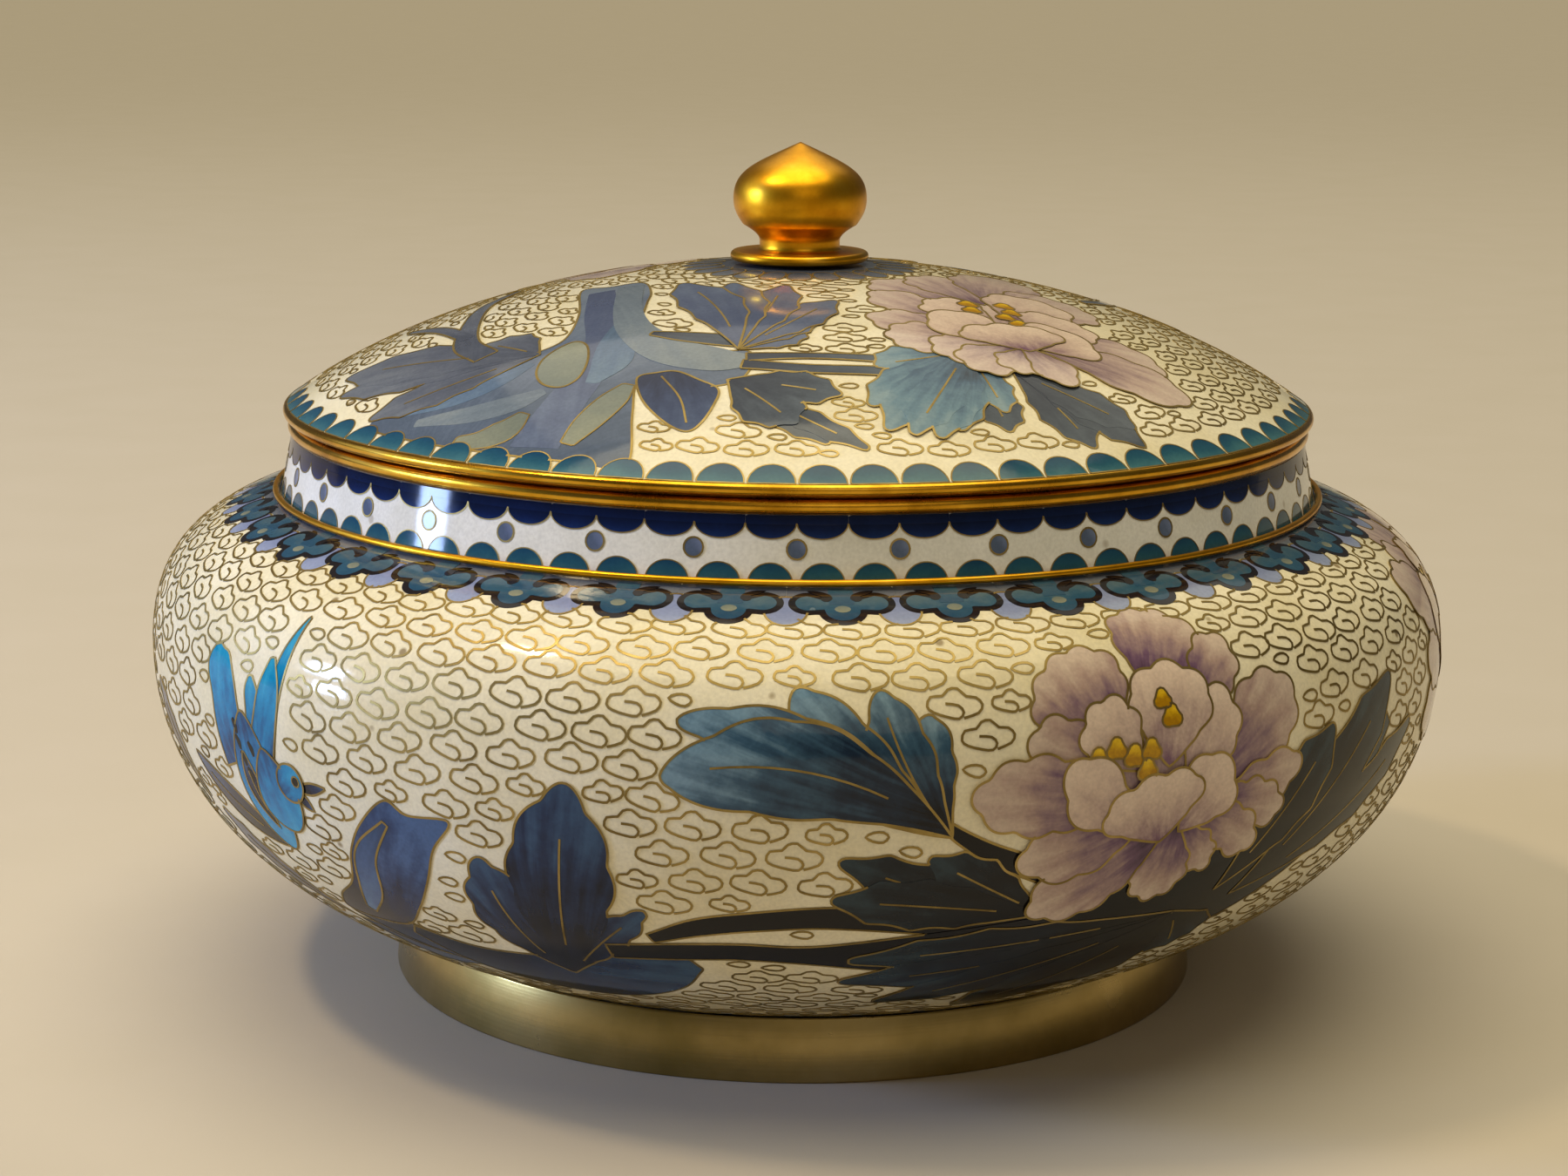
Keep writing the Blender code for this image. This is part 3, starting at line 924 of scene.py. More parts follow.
@dataclass
class Picture:
    """All that is drawn on one ground, from the lowest cell to the highest."""

    name: str
    ground: Ground
    figures: list[Figure] = field(default_factory=list)

    def __post_init__(self) -> None:
        """Numbers the cells, lowest first, and lifts each over those that it overlaps."""
        self.laid = [cell for figure in self.figures for cell in figure.cells]
        self.lows = np.array([cell.outline.min(axis=0) for cell in self.laid])
        self.highs = np.array([cell.outline.max(axis=0) for cell in self.laid])
        for i, cell in enumerate(self.laid):
            near = np.all((self.lows[:i] < self.highs[i]) & (self.highs[:i] > self.lows[i]), axis=1)
            under = [other.lift for other in (self.laid[k] for k in np.flatnonzero(near))
                     if inside(cell.outline, other.outline).any()
                     or inside(other.outline, cell.outline).any()]
            cell.lift = max(under) + LAYER_LIFT if under else FIRST_LIFT

    def covered(self, points: Array, chosen: Array | bool = True) -> Array:
        """Tells which points lie in a cell.

        Args:
            points: Points of the sheet.
            chosen: Which cells count.

        Returns:
            One truth value for each point.
        """
        found = np.zeros(len(points), bool)
        period = self.ground.period
        for shift in (0.0, period, -period) if period else (0.0,):
            moved = points + (shift, 0.0)
            near = np.all((self.lows < moved.max(axis=0)) & (self.highs > moved.min(axis=0)), axis=1)
            for k in np.flatnonzero(near & chosen):
                found |= inside(moved, self.laid[k].outline)
        return found

    def build(self) -> None:
        """Makes the enamel and the wires of every figure."""
        numbers = np.arange(len(self.laid))
        first = 0
        for figure in self.figures:
            wires = []
            for i, cell in enumerate(figure.cells):
                if not cell.wire_width:
                    continue
                chosen = numbers > first + i
                if cell.leaf is not None:
                    same = np.array([other.leaf is cell.leaf for other in self.laid])
                    chosen |= same & (numbers != first + i)
                wire = Wire(resampled(cell.outline, WIRE_STATION, True), True, cell.wire_width, cell.lift)
                wires += wire.shown(self.covered(wire.path, chosen))
            for i, path in figure.ribs:
                rib = Wire(resampled(path, WIRE_STATION, False), False, RIB_WIDTH, figure.cells[i].lift)
                wires += rib.shown(self.covered(rib.path, numbers > first + i))
            first += len(figure.cells)
            make_enamel(figure.name + "_enamel", self.ground, figure.cells)
            if wires:
                make_wires(figure.name + "_wires", self.ground, wires)


def make_enamel(name: str, ground: Ground, cells: Sequence[Cell]) -> None:
    """Fills cells with enamel: thin closed slabs that follow the ground.

    Args:
        name: The piece's name.
        ground: The ground that they lie on.
        cells: The cells.
    """
    enamels = list(dict.fromkeys(cell.enamel for cell in cells))
    whole = bmesh.new()
    for layer in ("shade", "fan"):
        whole.verts.layers.float.new(layer)
    for cell in cells:
        bm = bmesh.new()
        bm.verts.layers.float.new("shade")
        bm.verts.layers.float.new("fan")
        station = bm.verts.layers.int.new("station")
        shade, fan = (bm.verts.layers.float[layer] for layer in ("shade", "fan"))
        outline = counter_clockwise(resampled(cell.outline, CELL_EDGE, True))
        bm.faces.new([bm.verts.new((x, y, 0.0)) for x, y in outline]).normal_update()
        bmesh.ops.triangulate(bm, faces=bm.faces, quad_method="BEAUTY", ngon_method="EAR_CLIP")
        low, high = outline.min(axis=0), outline.max(axis=0)
        for k, normal in ((0, (1, 0, 0)), (1, (0, 1, 0))):
            count = int((high[k] - low[k]) / CELL_GRID)
            for cut in np.linspace(low[k], high[k], count + 2)[1:-1]:
                bmesh.ops.bisect_plane(bm, geom=bm.verts[:] + bm.edges[:] + bm.faces[:], dist=0.0001,
                                       plane_co=(cut * normal[0], cut * normal[1], 0), plane_no=normal)
        sheet = np.array([vert.co[:2] for vert in bm.verts])
        places = ground.place(sheet, cell.lift) * MM
        undersides = ground.place(sheet, cell.lift - ENAMEL_DEPTH) * MM
        for i, (vert, value, across) in enumerate(zip(bm.verts, cell.shade(sheet), cell.fan(sheet))):
            vert.co = places[i]
            vert[station] = i
            vert[shade] = value
            vert[fan] = across
        drawn = bmesh.ops.extrude_face_region(bm, geom=bm.faces[:])["geom"]
        for vert in (item for item in drawn if isinstance(item, bmesh.types.BMVert)):
            vert.co = undersides[vert[station]]
        bm.verts.layers.int.remove(station)
        bmesh.ops.recalc_face_normals(bm, faces=bm.faces)
        for face in bm.faces:
            face.material_index = enamels.index(cell.enamel)
        part = bpy.data.meshes.new("part")
        bm.to_mesh(part)
        bm.free()
        whole.from_mesh(part)
        bpy.data.meshes.remove(part)
    finish_piece(name, whole, enamels)


def make_wires(name: str, ground: Ground, wires: Sequence[Wire]) -> None:
    """Makes wires of flat top and narrow foot, all in one mesh.

    Args:
        name: The piece's name.
        ground: The ground that they lie on.
        wires: The wires.
    """
    left, right, keel = [], [], []
    bm = bmesh.new()
    station = bm.verts.layers.int.new("station")
    count = 0
    for wire in wires:
        top = ground.place(wire.path, wire.lift + WIRE_PROUD)
        along = np.gradient(top, axis=0)
        if wire.closed:
            along = np.roll(top, -1, axis=0) - np.roll(top, 1, axis=0)
        aside = np.cross(ground.facing(wire.path), along)
        aside *= wire.width / 2 / np.linalg.norm(aside, axis=1)[:, None]
        left.append(top + aside)
        right.append(top - aside)
        keel.append(ground.place(wire.path, wire.lift + WIRE_PROUD - WIRE_DEPTH))
        verts = [bm.verts.new() for _ in wire.path]
        for vert in verts:
            vert[station] = count
            count += 1
        for pair in zip(verts, verts[1:]):
            bm.edges.new(pair)
        if wire.closed:
            bm.edges.new((verts[-1], verts[0]))
    rails = [np.vstack(side) * MM for side in (left, right, keel)]
    for vert in bm.verts:
        vert.co = rails[0][vert[station]]
    edges = bm.edges[:]
    for rail in (rails[1], rails[2], rails[0]):
        drawn = bmesh.ops.extrude_edge_only(bm, edges=edges)["geom"]
        edges = [item for item in drawn if isinstance(item, bmesh.types.BMEdge)]
        for vert in (item for item in drawn if isinstance(item, bmesh.types.BMVert)):
            vert.co = rail[vert[station]]
    bmesh.ops.remove_doubles(bm, verts=bm.verts, dist=0.00001 * MM)
    bmesh.ops.holes_fill(bm, edges=[edge for edge in bm.edges if edge.is_boundary], sides=3)
    bmesh.ops.recalc_face_normals(bm, faces=bm.faces)
    finish_piece(name, bm, [Brass.WIRE], smooth=False)


# Motifs


@dataclass(frozen=True)
class Leaf:
    """A leaf whose lobes spring from one root."""

    root: Point
    tips: tuple[Triple, ...]    # each lobe's tip, and its width in mm
    enamel: Enamel
    bends: tuple[float, ...] = (0.0,)
    rib: float = 0.8
    teeth: float = 5.0
    depth: float = 0.7
    toothed: bool = True
    bluntness: float = 0.7
    joined: bool = True         # whether the lobes flow together, with no wires between them
    fullness: float = 1.45

    def draw(self, pen: Pen, figure: Figure) -> None:
        """Adds the lobes, the outer ones first.

        Args:
            pen: Draws them.
            figure: Takes them.
        """
        leaf = object() if self.joined else None
        for i, (x, y, width) in enumerate(self.tips):
            bend = self.bends[i % len(self.bends)]
            depth = min(self.depth, width / 8)
            lobe = Lobe(self.root, (x, y), width, bend, self.fullness, self.bluntness, self.teeth, depth,
                        self.toothed)
            pen.lobe(figure, lobe, self.enamel, self.rib, leaf)


Petal = tuple[Point, Point, float, float, int]      # root, tip, width, bend, and waves of the edge


@dataclass(frozen=True)
class Bloom:
    """The petals and stamens of a peony, in mm from its centre, the lowest first."""

    outer: tuple[Petal, ...]
    inner: tuple[Petal, ...]
    cup: tuple[Petal, ...]
    stamens: tuple[Triple, ...]     # place and radius


OPEN_BLOOM = Bloom(
    outer=(((0, -9), (0, 16), 23, 0.0, 0), ((-1, 12), (5.5, 25), 14.0, 0.0, 4),
           ((5, 10), (13, 19.5), 7.0, -0.1, 3), ((-7, 6), (-14, 19), 14.0, 0.05, 4),
           ((-6, 4), (-19, 8.5), 8.5, 0.12, 3), ((7, -1), (23.4, 11.5), 11.5, 0.0, 4),
           ((7, -3), (25, 0.5), 6.5, -0.12, 3), ((6, -4), (22.3, -6), 6.5, 0.1, 4),
           ((5, -4), (18, -11), 6.0, 0.1, 3), ((4, -5), (10, -13), 4.5, 0.0, 3),
           ((3, -5), (1.5, -17), 8.5, 0.0, 4), ((1.5, -5), (-17, -17), 9.5, 0.05, 4),
           ((-1, -3), (-20, -8.5), 8.0, 0.1, 3), ((-3, -1), (-26.8, 1), 9.8, -0.05, 4)),
    inner=(((4, 0), (10, 12.5), 9.0, -0.1, 3), ((1, 3), (2.4, 16.5), 12.5, 0.0, 3),
           ((-3, 3), (-10, 11.8), 8.5, 0.1, 3)),
    cup=(((3.5, -6.5), (10, 3), 9.0, -0.14, 2), ((-2.5, -5), (-13.5, 4.4), 8.0, 0.14, 2),
         ((0.5, -7.5), (-2, 1.4), 15.0, 0.0, 3)),
    stamens=((-10.0, 5.0, 1.6), (-7.3, 6.2, 1.5), (-8.3, 3.2, 1.5), (-4.6, 5.0, 1.6), (-2.0, 5.6, 1.5),
             (-2.6, 3.0, 1.5), (1.7, 9.6, 1.6), (0.5, 12.0, 1.4)))

LEANING_BLOOM = Bloom(
    outer=(((5, -8), (0, 14), 20, 0.0, 0), ((-3, 10), (-15, 19.5), 11.0, 0.1, 3),
           ((0.5, 11), (-7, 27), 13.0, 0.0, 4), ((2, 12), (3.5, 36), 13.0, 0.0, 4),
           ((4.5, 9), (14.5, 23.5), 15.0, 0.0, 4), ((-3, 0), (-15.5, 11.5), 9.0, 0.1, 3),
           ((8, 0.5), (16, 7.5), 14.0, 0.0, 3), ((7, -2), (27, 0.5), 15.0, -0.05, 4),
           ((7, -5), (30.4, -8), 11.5, 0.08, 3), ((-2, -5), (-16.5, -1), 8.5, 0.0, 3),
           ((0, -7), (-14, -8.5), 10.0, 0.0, 4), ((2.5, -7), (-7, -12.8), 9.0, 0.0, 3),
           ((4, -7), (-2, -16.5), 8.5, 0.0, 3), ((5.5, -7), (5, -15), 7.0, 0.0, 3),
           ((5, -6), (12, -15.5), 6.0, 0.1, 2)),
    inner=(((4.5, 4), (9, 20), 13.0, 0.0, 3), ((8, 0.5), (13.5, 11), 12.0, 0.0, 3),
           ((1.5, 3), (-7.5, 9.5), 10.0, 0.1, 3)),
    cup=(((6, -5.5), (14, 4), 12.0, -0.1, 2), ((4, -7), (-6.5, 3), 10.5, 0.1, 2),
         ((6.5, -7.5), (2.5, 1), 16.0, 0.0, 3)),
    stamens=((-2.0, 10.0, 1.6), (-1.5, 7.0, 1.5), (3.5, 12.0, 1.6), (3.5, 6.0, 1.5), (5.5, 3.8, 1.6),
             (7.2, 2.2, 1.5), (4.5, 9.0, 1.5)))


@dataclass(frozen=True)
class Peony:
    """A peony: ruffled outer petals, inner ones, stamens, and a cup of petals in front."""

    centre: Point           # in the ground's places
    bloom: Bloom = OPEN_BLOOM
    size: float = 1.0
    tilt: float = 0.0       # degrees
    outer: Enamel = Enamel.PETAL
    inner: Enamel = Enamel.PETAL_PALE
    fullness: float = 1.6       # of its petals, which are widest near the tip
    bluntness: float = 0.52
    ruffle: float = 0.85        # mm, depth of the petals' waves
    more_waves: float = 1.25    # waves for each that a petal gives, as its ends have none
    anther_wire: float = 0.3    # mm

    def draw(self, pen: Pen, figure: Figure) -> None:
        """Adds the outer petals, the inner ones, the stamens and the cup.

        Args:
            pen: Draws them.
            figure: Takes them.
        """
        for petal in self.bloom.outer:
            self.petal(pen, figure, petal, self.outer)
        for petal in self.bloom.inner:
            self.petal(pen, figure, petal, self.inner)
        for stamen in self.bloom.stamens:
            self.stamen(pen, figure, *stamen)
        for petal in self.bloom.cup:
            self.petal(pen, figure, petal, self.inner)

    def about(self, pen: Pen, point: Point) -> Array:
        """The sheet's point for mm from the flower's centre."""
        angle = math.radians(self.tilt)
        x = (point[0] * math.cos(angle) - point[1] * math.sin(angle)) * self.size
        y = (point[0] * math.sin(angle) + point[1] * math.cos(angle)) * self.size
        return pen.near(self.centre, (x, y))

    def petal(self, pen: Pen, figure: Figure, petal: Petal, enamel: Enamel) -> None:
        """Adds one ruffled petal.

        Args:
            pen: Draws it.
            figure: Takes it.
            petal: Its measures.
            enamel: Its enamel.
        """
        root, tip, width, bend, waves = petal
        lobe = Lobe(root, tip, width * self.size, bend, self.fullness, self.bluntness,
                    waves * self.more_waves, self.ruffle * self.size)
        on_sheet = self.about(pen, root), self.about(pen, tip)
        stretch = pen.ground.stretch(sum(on_sheet) / 2)
        figure.cells.append(Cell(lobe.outline(*on_sheet, stretch, pen.flip), enamel, *on_sheet))

    def stamen(self, pen: Pen, figure: Figure, x: float, y: float, radius: float) -> None:
        """Adds one yellow anther: three rounds that flow together.

        Args:
            pen: Draws it.
            figure: Takes it.
            x: Mm to the right of the flower's centre.
            y: Mm up from it.
            radius: In mm.
        """
        rounds = [(x + radius * 0.5 * math.cos(angle), y + radius * 0.5 * math.sin(angle), radius * 0.62)
                  for angle in np.radians((90, 210, 330))]
        points = [self.about(pen, point) for point in rounds_joined(rounds, (x, y), 18)]
        root, tip = self.about(pen, (x, y)), self.about(pen, (x, y + radius))
        figure.cells.append(Cell(np.array(points), Enamel.STAMEN, root, tip, self.anther_wire))


@dataclass(frozen=True)
class Bird:
    """A small long-tailed songbird, seen from the side."""

    # Tail feathers: place, and width in mm, at a few knots from the body to the tip.
    feathers = (((-51.6, 41.0, 8.0), (-52.7, 35.6, 7.6), (-53.5, 30.9, 7.0), (-54.8, 27.0, 6.2),
                 (-55.2, 25.0, 1.6)),
                ((-46.5, 38.0, 2.2), (-46.0, 32.1, 2.4), (-45.6, 27.7, 2.5), (-45.1, 23.5, 2.0),
                 (-44.2, 17.4, 0.5)),
                ((-48.2, 39.0, 4.4), (-48.5, 33.0, 4.0), (-49.1, 29.5, 3.0), (-49.3, 27.6, 0.8)),
                ((-48.1, 41.0, 6.0), (-47.0, 33.7, 5.4), (-46.6, 28.6, 4.6), (-46.6, 24.3, 1.0)))
    flecks = ((-51.9, 34.6), (-51.5, 36.8), (-50.9, 39.0), (-50.2, 41.2), (-49.4, 43.4), (-49.6, 37.2))
    head: Point = (-44.2, 41.4)
    eye: Point = (-43.4, 40.9)
    head_radius: float = 2.9    # mm
    eye_radius: float = 0.8     # mm
    eye_wire: float = 0.26      # mm

    def draw(self, pen: Pen, figure: Figure) -> None:
        """Adds wing, tail, body, head, bill and eye.

        Args:
            pen: Draws them.
            figure: Takes them.
        """
        pen.lobe(figure, Lobe((-47.6, 53.2), (-60.9, 42.8), 5.2, 0.06, 0.9, 0.8), Enamel.LEAF_NAVY, 0.8)
        for feather in self.feathers:
            pen.bough(figure, feather, Enamel.BIRD)
        pen.lobe(figure, Lobe((-50.6, 33.0), (-46.9, 53.4), 10.0, -0.03, 1.1, 0.6), Enamel.BIRD)
        pen.lobe(figure, Lobe((-47.8, 50.0), (-50.6, 38.8), 3.4, 0.1, 1.2, 0.8), Enamel.LEAF_NAVY, 0.8)
        for x, y in self.flecks:
            fleck = ((x, y, 0.5), (x + 0.5, y + 1.0, 1.0), (x + 0.7, y + 2.0, 0.5))
            pen.bough(figure, fleck, Enamel.STEM, wire=0.0)
        pen.lobe(figure, Lobe((-43.2, 42.0), (-39.8, 40.8), 1.8, 0.0, 0.8, 0.9), Enamel.LEAF_NAVY)
        pen.lobe(figure, Lobe((-43.6, 42.6), (-41.8, 45.0), 1.8, 0.0, 0.8, 0.9), Enamel.LEAF_NAVY)
        pen.lobe(figure, Lobe((-47.6, 37.4), (-44.9, 49.4), 9.6, -0.06, 1.3, 0.55), Enamel.BIRD)
        for place, radius, enamel, wire in ((self.head, self.head_radius, Enamel.BIRD, WIRE_WIDTH),
                                            (self.eye, self.eye_radius, Enamel.STEM, self.eye_wire)):
            ring = np.array([pen.near(place, point) for point in arc_of((0.0, 0.0), radius, 0, 345, 23)])
            figure.cells.append(Cell(ring, enamel, ring.min(axis=0), ring.max(axis=0), wire))


@dataclass
class CloudField:
    """The small wire clouds that fill the ground between the motifs, row over row."""

    picture: Picture
    name: str
    first_arc: float
    last_arc: float
    across: float = 8.4     # mm from cloud to cloud
    down: float = 4.05      # mm from row to row
    band: int = 6           # rows with equally many clouds
    seed: int = 4
    scale: float = 1.0      # size of the clouds
    width: float = 0.36     # mm, of their wire
    shrunk: float = 0.76    # size of a cloud in a narrow gap
    shrunk_room: float = 0.7
    drop_room: Point = (2.6, 1.65)      # mm to the next drop's middle, sideways and up
    cloud_room: Point = (2.2, 1.25)     # mm more on the side of a cloud

    # One cloud's wire in mm, from the end of its inner curl round to where it meets the curl again.
    curl = ((-1.25, 0.0), (0.45, -0.2), (1.15, -1.05), (0.55, -1.9), (-0.9, -1.75), (-2.8, -1.2),
            (-3.65, -0.45), (-3.2, 0.8), (-1.65, 1.0), (-0.9, 1.85), (0.35, 2.05), (1.5, 1.05),
            (2.8, 0.9), (3.65, 0.0), (3.1, -1.1), (1.2, -1.8))
    drop = ((-1.7, 0.1), (-0.7, 0.75), (0.7, 0.8), (1.45, 0.1), (0.7, -0.7), (-0.6, -0.55))

    def spots(self, rng: np.random.Generator, first: float, rows: int) -> list[Point]:
        """Azimuth and arc of every cloud in some rows.

        Args:
            rng: Source of the small differences.
            first: Arc of the first row, in mm.
            rows: Most rows.

        Returns:
            The places.
        """
        spots = []
        for row in range(min(rows, int((self.last_arc - first) / self.down) + 1)):
            arc = first + row * self.down
            number = round((arc - self.first_arc) / self.down + 0.5)
            half = number % 2 / 2
            middle = self.first_arc + (number // self.band + 0.5) * self.band * self.down
            count = round(2 * math.pi * self.picture.ground.radius(middle) / self.across)
            for i in range(count):
                azimuth = 360 * (i + half) / count - 180 + rng.uniform(-0.25, 0.25)
                spots.append((azimuth, arc + rng.uniform(-0.2, 0.2)))
        return spots

    def wires(self) -> list[Wire]:
        """Lays out the rows, moves the clouds that a motif would cut, and puts drops in the gaps."""
        rng = np.random.default_rng(self.seed)
        cloud, drop = smooth_line(self.curl, 2), smooth_line(self.drop, 2, closed=True)
        found: list[Wire] = []
        held: list[Triple] = []     # azimuth, arc and size
        for place in self.spots(rng, self.first_arc - self.down / 2, 1):
            outline = self.shaped(place, cloud, rng)
            found += Wire(outline, False, self.width).shown(self.picture.covered(outline))
            held.append((*place, 1.0))
        left = self.spots(rng, self.first_arc + self.down / 2, 1000)
        near = ((0, 0), (1.1, 0), (-1.1, 0), (0, 0.5), (0, -0.5), (2.2, 0.2), (-2.2, -0.2))
        far = ((0, 0), (2.2, 0.6), (-2.2, -0.6), (2.4, -1.2), (-2.4, 1.2))
        passes = ((cloud, False, 1.0, 1.03, near),
                  (cloud * self.shrunk, False, self.shrunk_room, 1.06, near),
                  (drop, True, 0.0, 1.3, far))
        for path, closed, size, margin, moves in passes:
            for x, y in moves:
                tries = [self.moved(spot, x, y) for spot in left]
                outlines = [self.shaped(place, path, rng) for place in tries]
                waiting = []
                hits = self.blocked(outlines, margin)
                for spot, place, outline, hit in zip(left, tries, outlines, hits):
                    if hit or not self.clear(place, held, size):
                        waiting.append(spot)
                        continue
                    found.append(Wire(outline, closed, self.width))
                    held.append((*place, size))
                left = waiting
                if not left:
                    return found
        return found

    def moved(self, spot: Point, x: float, y: float) -> Point:
        """A spot moved by mm to the right and down."""
        return (spot[0] + math.degrees(x / self.picture.ground.radius(spot[1])), spot[1] + y)

    def clear(self, place: Point, held: Sequence[Triple], size: float) -> bool:
        """Tells whether a cloud or drop would stay clear of those that are laid.

        Args:
            place: Its azimuth and arc.
            held: Azimuth, arc and size of those laid.
            size: 1 for a cloud, less for a shrunk one, 0 for a drop.

        Returns:
            Whether it has room.
        """
        if not held:
            return True
        laid = np.array(held)
        turn = (laid[:, 0] - place[0] + 180) % 360 - 180
        aside = np.radians(turn) * self.picture.ground.radius(place[1])
        down = laid[:, 1] - place[1]
        wide, high = (self.scale * (least + more * (laid[:, 2] + size))
                      for least, more in zip(self.drop_room, self.cloud_room))
        return bool(np.all((aside / wide) ** 2 + (down / high) ** 2 > 1.0))

    def shaped(self, spot: Point, path: Array, rng: np.random.Generator) -> Array:
        """One hand-bent cloud: slightly turned and sized, at its azimuth and arc.

        Args:
            spot: Azimuth in degrees and arc in mm.
            path: The cloud's line in mm.
            rng: Source of the differences.

        Returns:
            The line on the sheet.
        """
        angle = math.radians(rng.normal(-2.0, 3.0))
        size = self.scale * rng.uniform(0.95, 1.02)
        turn = np.array([[math.cos(angle), math.sin(angle)], [-math.sin(angle), math.cos(angle)]]) * size
        return self.picture.ground.around(spot[0], spot[1], path @ turn)

    def blocked(self, outlines: Sequence[Array], margin: float) -> Array:
        """Tells which lines a motif would cut.

        Args:
            outlines: Lines with equally many points.
            margin: How much larger each is taken.

        Returns:
            One truth value for each line.
        """
        stack = np.stack(outlines)
        middle = stack.mean(axis=1, keepdims=True)
        grown = middle + (stack - middle) * margin
        return self.picture.covered(grown.reshape(-1, 2)).reshape(grown.shape[:2]).any(axis=1)

    def build(self, parts: int = 1) -> None:
        """Makes the clouds, in several pieces where they are too many for one.

        Args:
            parts: Number of pieces.
        """
        wires = self.wires()
        arcs = np.array([self.picture.ground.turn(wire.path[:1])[1][0] for wire in wires])
        for i, chosen in enumerate(np.array_split(np.argsort(arcs), parts)):
            name = self.name if parts == 1 else f"{self.name}_{i + 1}"
            make_wires(name, self.picture.ground, [wires[k] for k in chosen])


# The bowl and its lid


@dataclass
class BowlShell:
    """The spun copper bowl: white neck, cream outside, turquoise inside and underneath."""

    belly_radius: float     # mm, as are all sizes here
    base_height: float
    mouth_height: float
    wall: float = 1.8
    base_radius: float = 55.0
    base_slope: float = 16.8
    base_flare: float = 25.3
    belly_rise: float = 46.5
    belly_round: float = 24.9
    shoulder_rise: float = 22.1
    shoulder_slope: float = 18.0
    shoulder_round: float = 16.5
    shoulder_flat: float = 9.3
    neck_radius: float = 80.1
    neck_taper: float = 1.8
    widest_arc: float = 33.35   # where the belly's arcs have its widest line

    def below(self) -> Array:
        """The outside from the base's edge up to the widest line."""
        edge = (self.base_radius, self.base_height)
        belly = (self.belly_radius, self.base_height + self.belly_rise)
        return bezier(edge, step_from(edge, self.base_slope, self.base_flare),
                      step_from(belly, -90, self.belly_round), belly, 64)

    def above(self) -> Array:
        """The outside from the widest line up to the neck's foot."""
        belly = (self.belly_radius, self.base_height + self.belly_rise)
        foot = (self.neck_radius, belly[1] + self.shoulder_rise)
        return bezier(belly, step_from(belly, 90, self.shoulder_round),
                      step_from(foot, -self.shoulder_slope, self.shoulder_flat), foot, 32)

    def neck(self) -> Array:
        """The neck's outside from its foot up to the mouth."""
        foot = self.above()[-1]
        mouth = (self.neck_radius - self.neck_taper, self.mouth_height)
        return np.linspace(foot, mouth, 9)

    def belly_ground(self) -> SideGround:
        """The ground from the neck's foot down to the base's edge."""
        above = self.above()[::-1]
        first = self.widest_arc - np.linalg.norm(np.diff(above, axis=0), axis=1).sum()
        return SideGround(np.vstack([above, self.below()[::-1][1:]]), first)

    def neck_ground(self) -> SideGround:
        """The ground from the mouth down to the neck's foot."""
        return SideGround(self.neck()[::-1])

    def build(self) -> None:
        """Makes the shell."""
        finishes = [Enamel.CREAM, Enamel.WHITE, Enamel.COUNTER]
        outside = np.vstack([[(0.0, self.base_height)], self.below(), self.above()[1:], self.neck()[1:]])
        inner = offset(outside, self.wall)
        inner[-1] = (outside[-1, 0] - self.wall, self.mouth_height)
        bm = turned(np.vstack([inner, outside[::-1]]), closed=False)
        neck_foot = self.above()[-1][1] * MM
        for face in bm.faces:
            middle = face.calc_center_median()
            inward = face.normal.dot(Vector((middle.x, middle.y, 0.0))) < 0
            if inward or middle.xy.length < self.base_radius * MM:
                face.material_index = finishes.index(Enamel.COUNTER)
            elif middle.z > neck_foot:
                face.material_index = finishes.index(Enamel.WHITE)
        finish_piece("bowl_shell", bm, finishes, "bowl")


@dataclass
class LidShell:
    """The spun copper dome of the lid: cream outside, turquoise inside."""

    edge_radius: float      # mm, as are all sizes here
    edge_height: float
    crown_height: float
    spread: float = 100.0
    wall: float = 1.8
    edge_gap: float = 0.3   # from the edge up to the inside's lowest point

    def outside(self) -> Array:
        """The outside from the crown to the edge: part of an ellipse."""
        share = math.sqrt(1 - (self.edge_radius / self.spread) ** 2)
        half_height = (self.crown_height - self.edge_height) / (1 - share)
        angles = np.linspace(0.0, math.asin(self.edge_radius / self.spread), 73)
        heights = self.crown_height - half_height * (1 - np.cos(angles))
        return np.stack([self.spread * np.sin(angles), heights], axis=1)

    def ground(self) -> DomeGround:
        """The ground from the crown to the edge."""
        return DomeGround(self.outside())

    def build(self) -> None:
        """Makes the shell."""
        finishes = [Enamel.CREAM, Enamel.COUNTER]
        outside = self.outside()
        inner = offset(outside, -self.wall)
        inner = inner[inner[:, 1] > self.edge_height + self.edge_gap]
        foot = (self.edge_radius - self.wall, self.edge_height)
        bm = turned(np.vstack([outside, [foot], inner[::-1]]), closed=False)
        for face in bm.faces:
            if face.normal.z < 0:
                face.material_index = finishes.index(Enamel.COUNTER)
        finish_piece("lid_shell", bm, finishes, "lid")


def span(node: str) -> Triple:
    """Outer radius, lowest and highest height of a CAD node in mm."""
    low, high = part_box(node)
    return high.x / MM, low.z / MM, high.z / MM


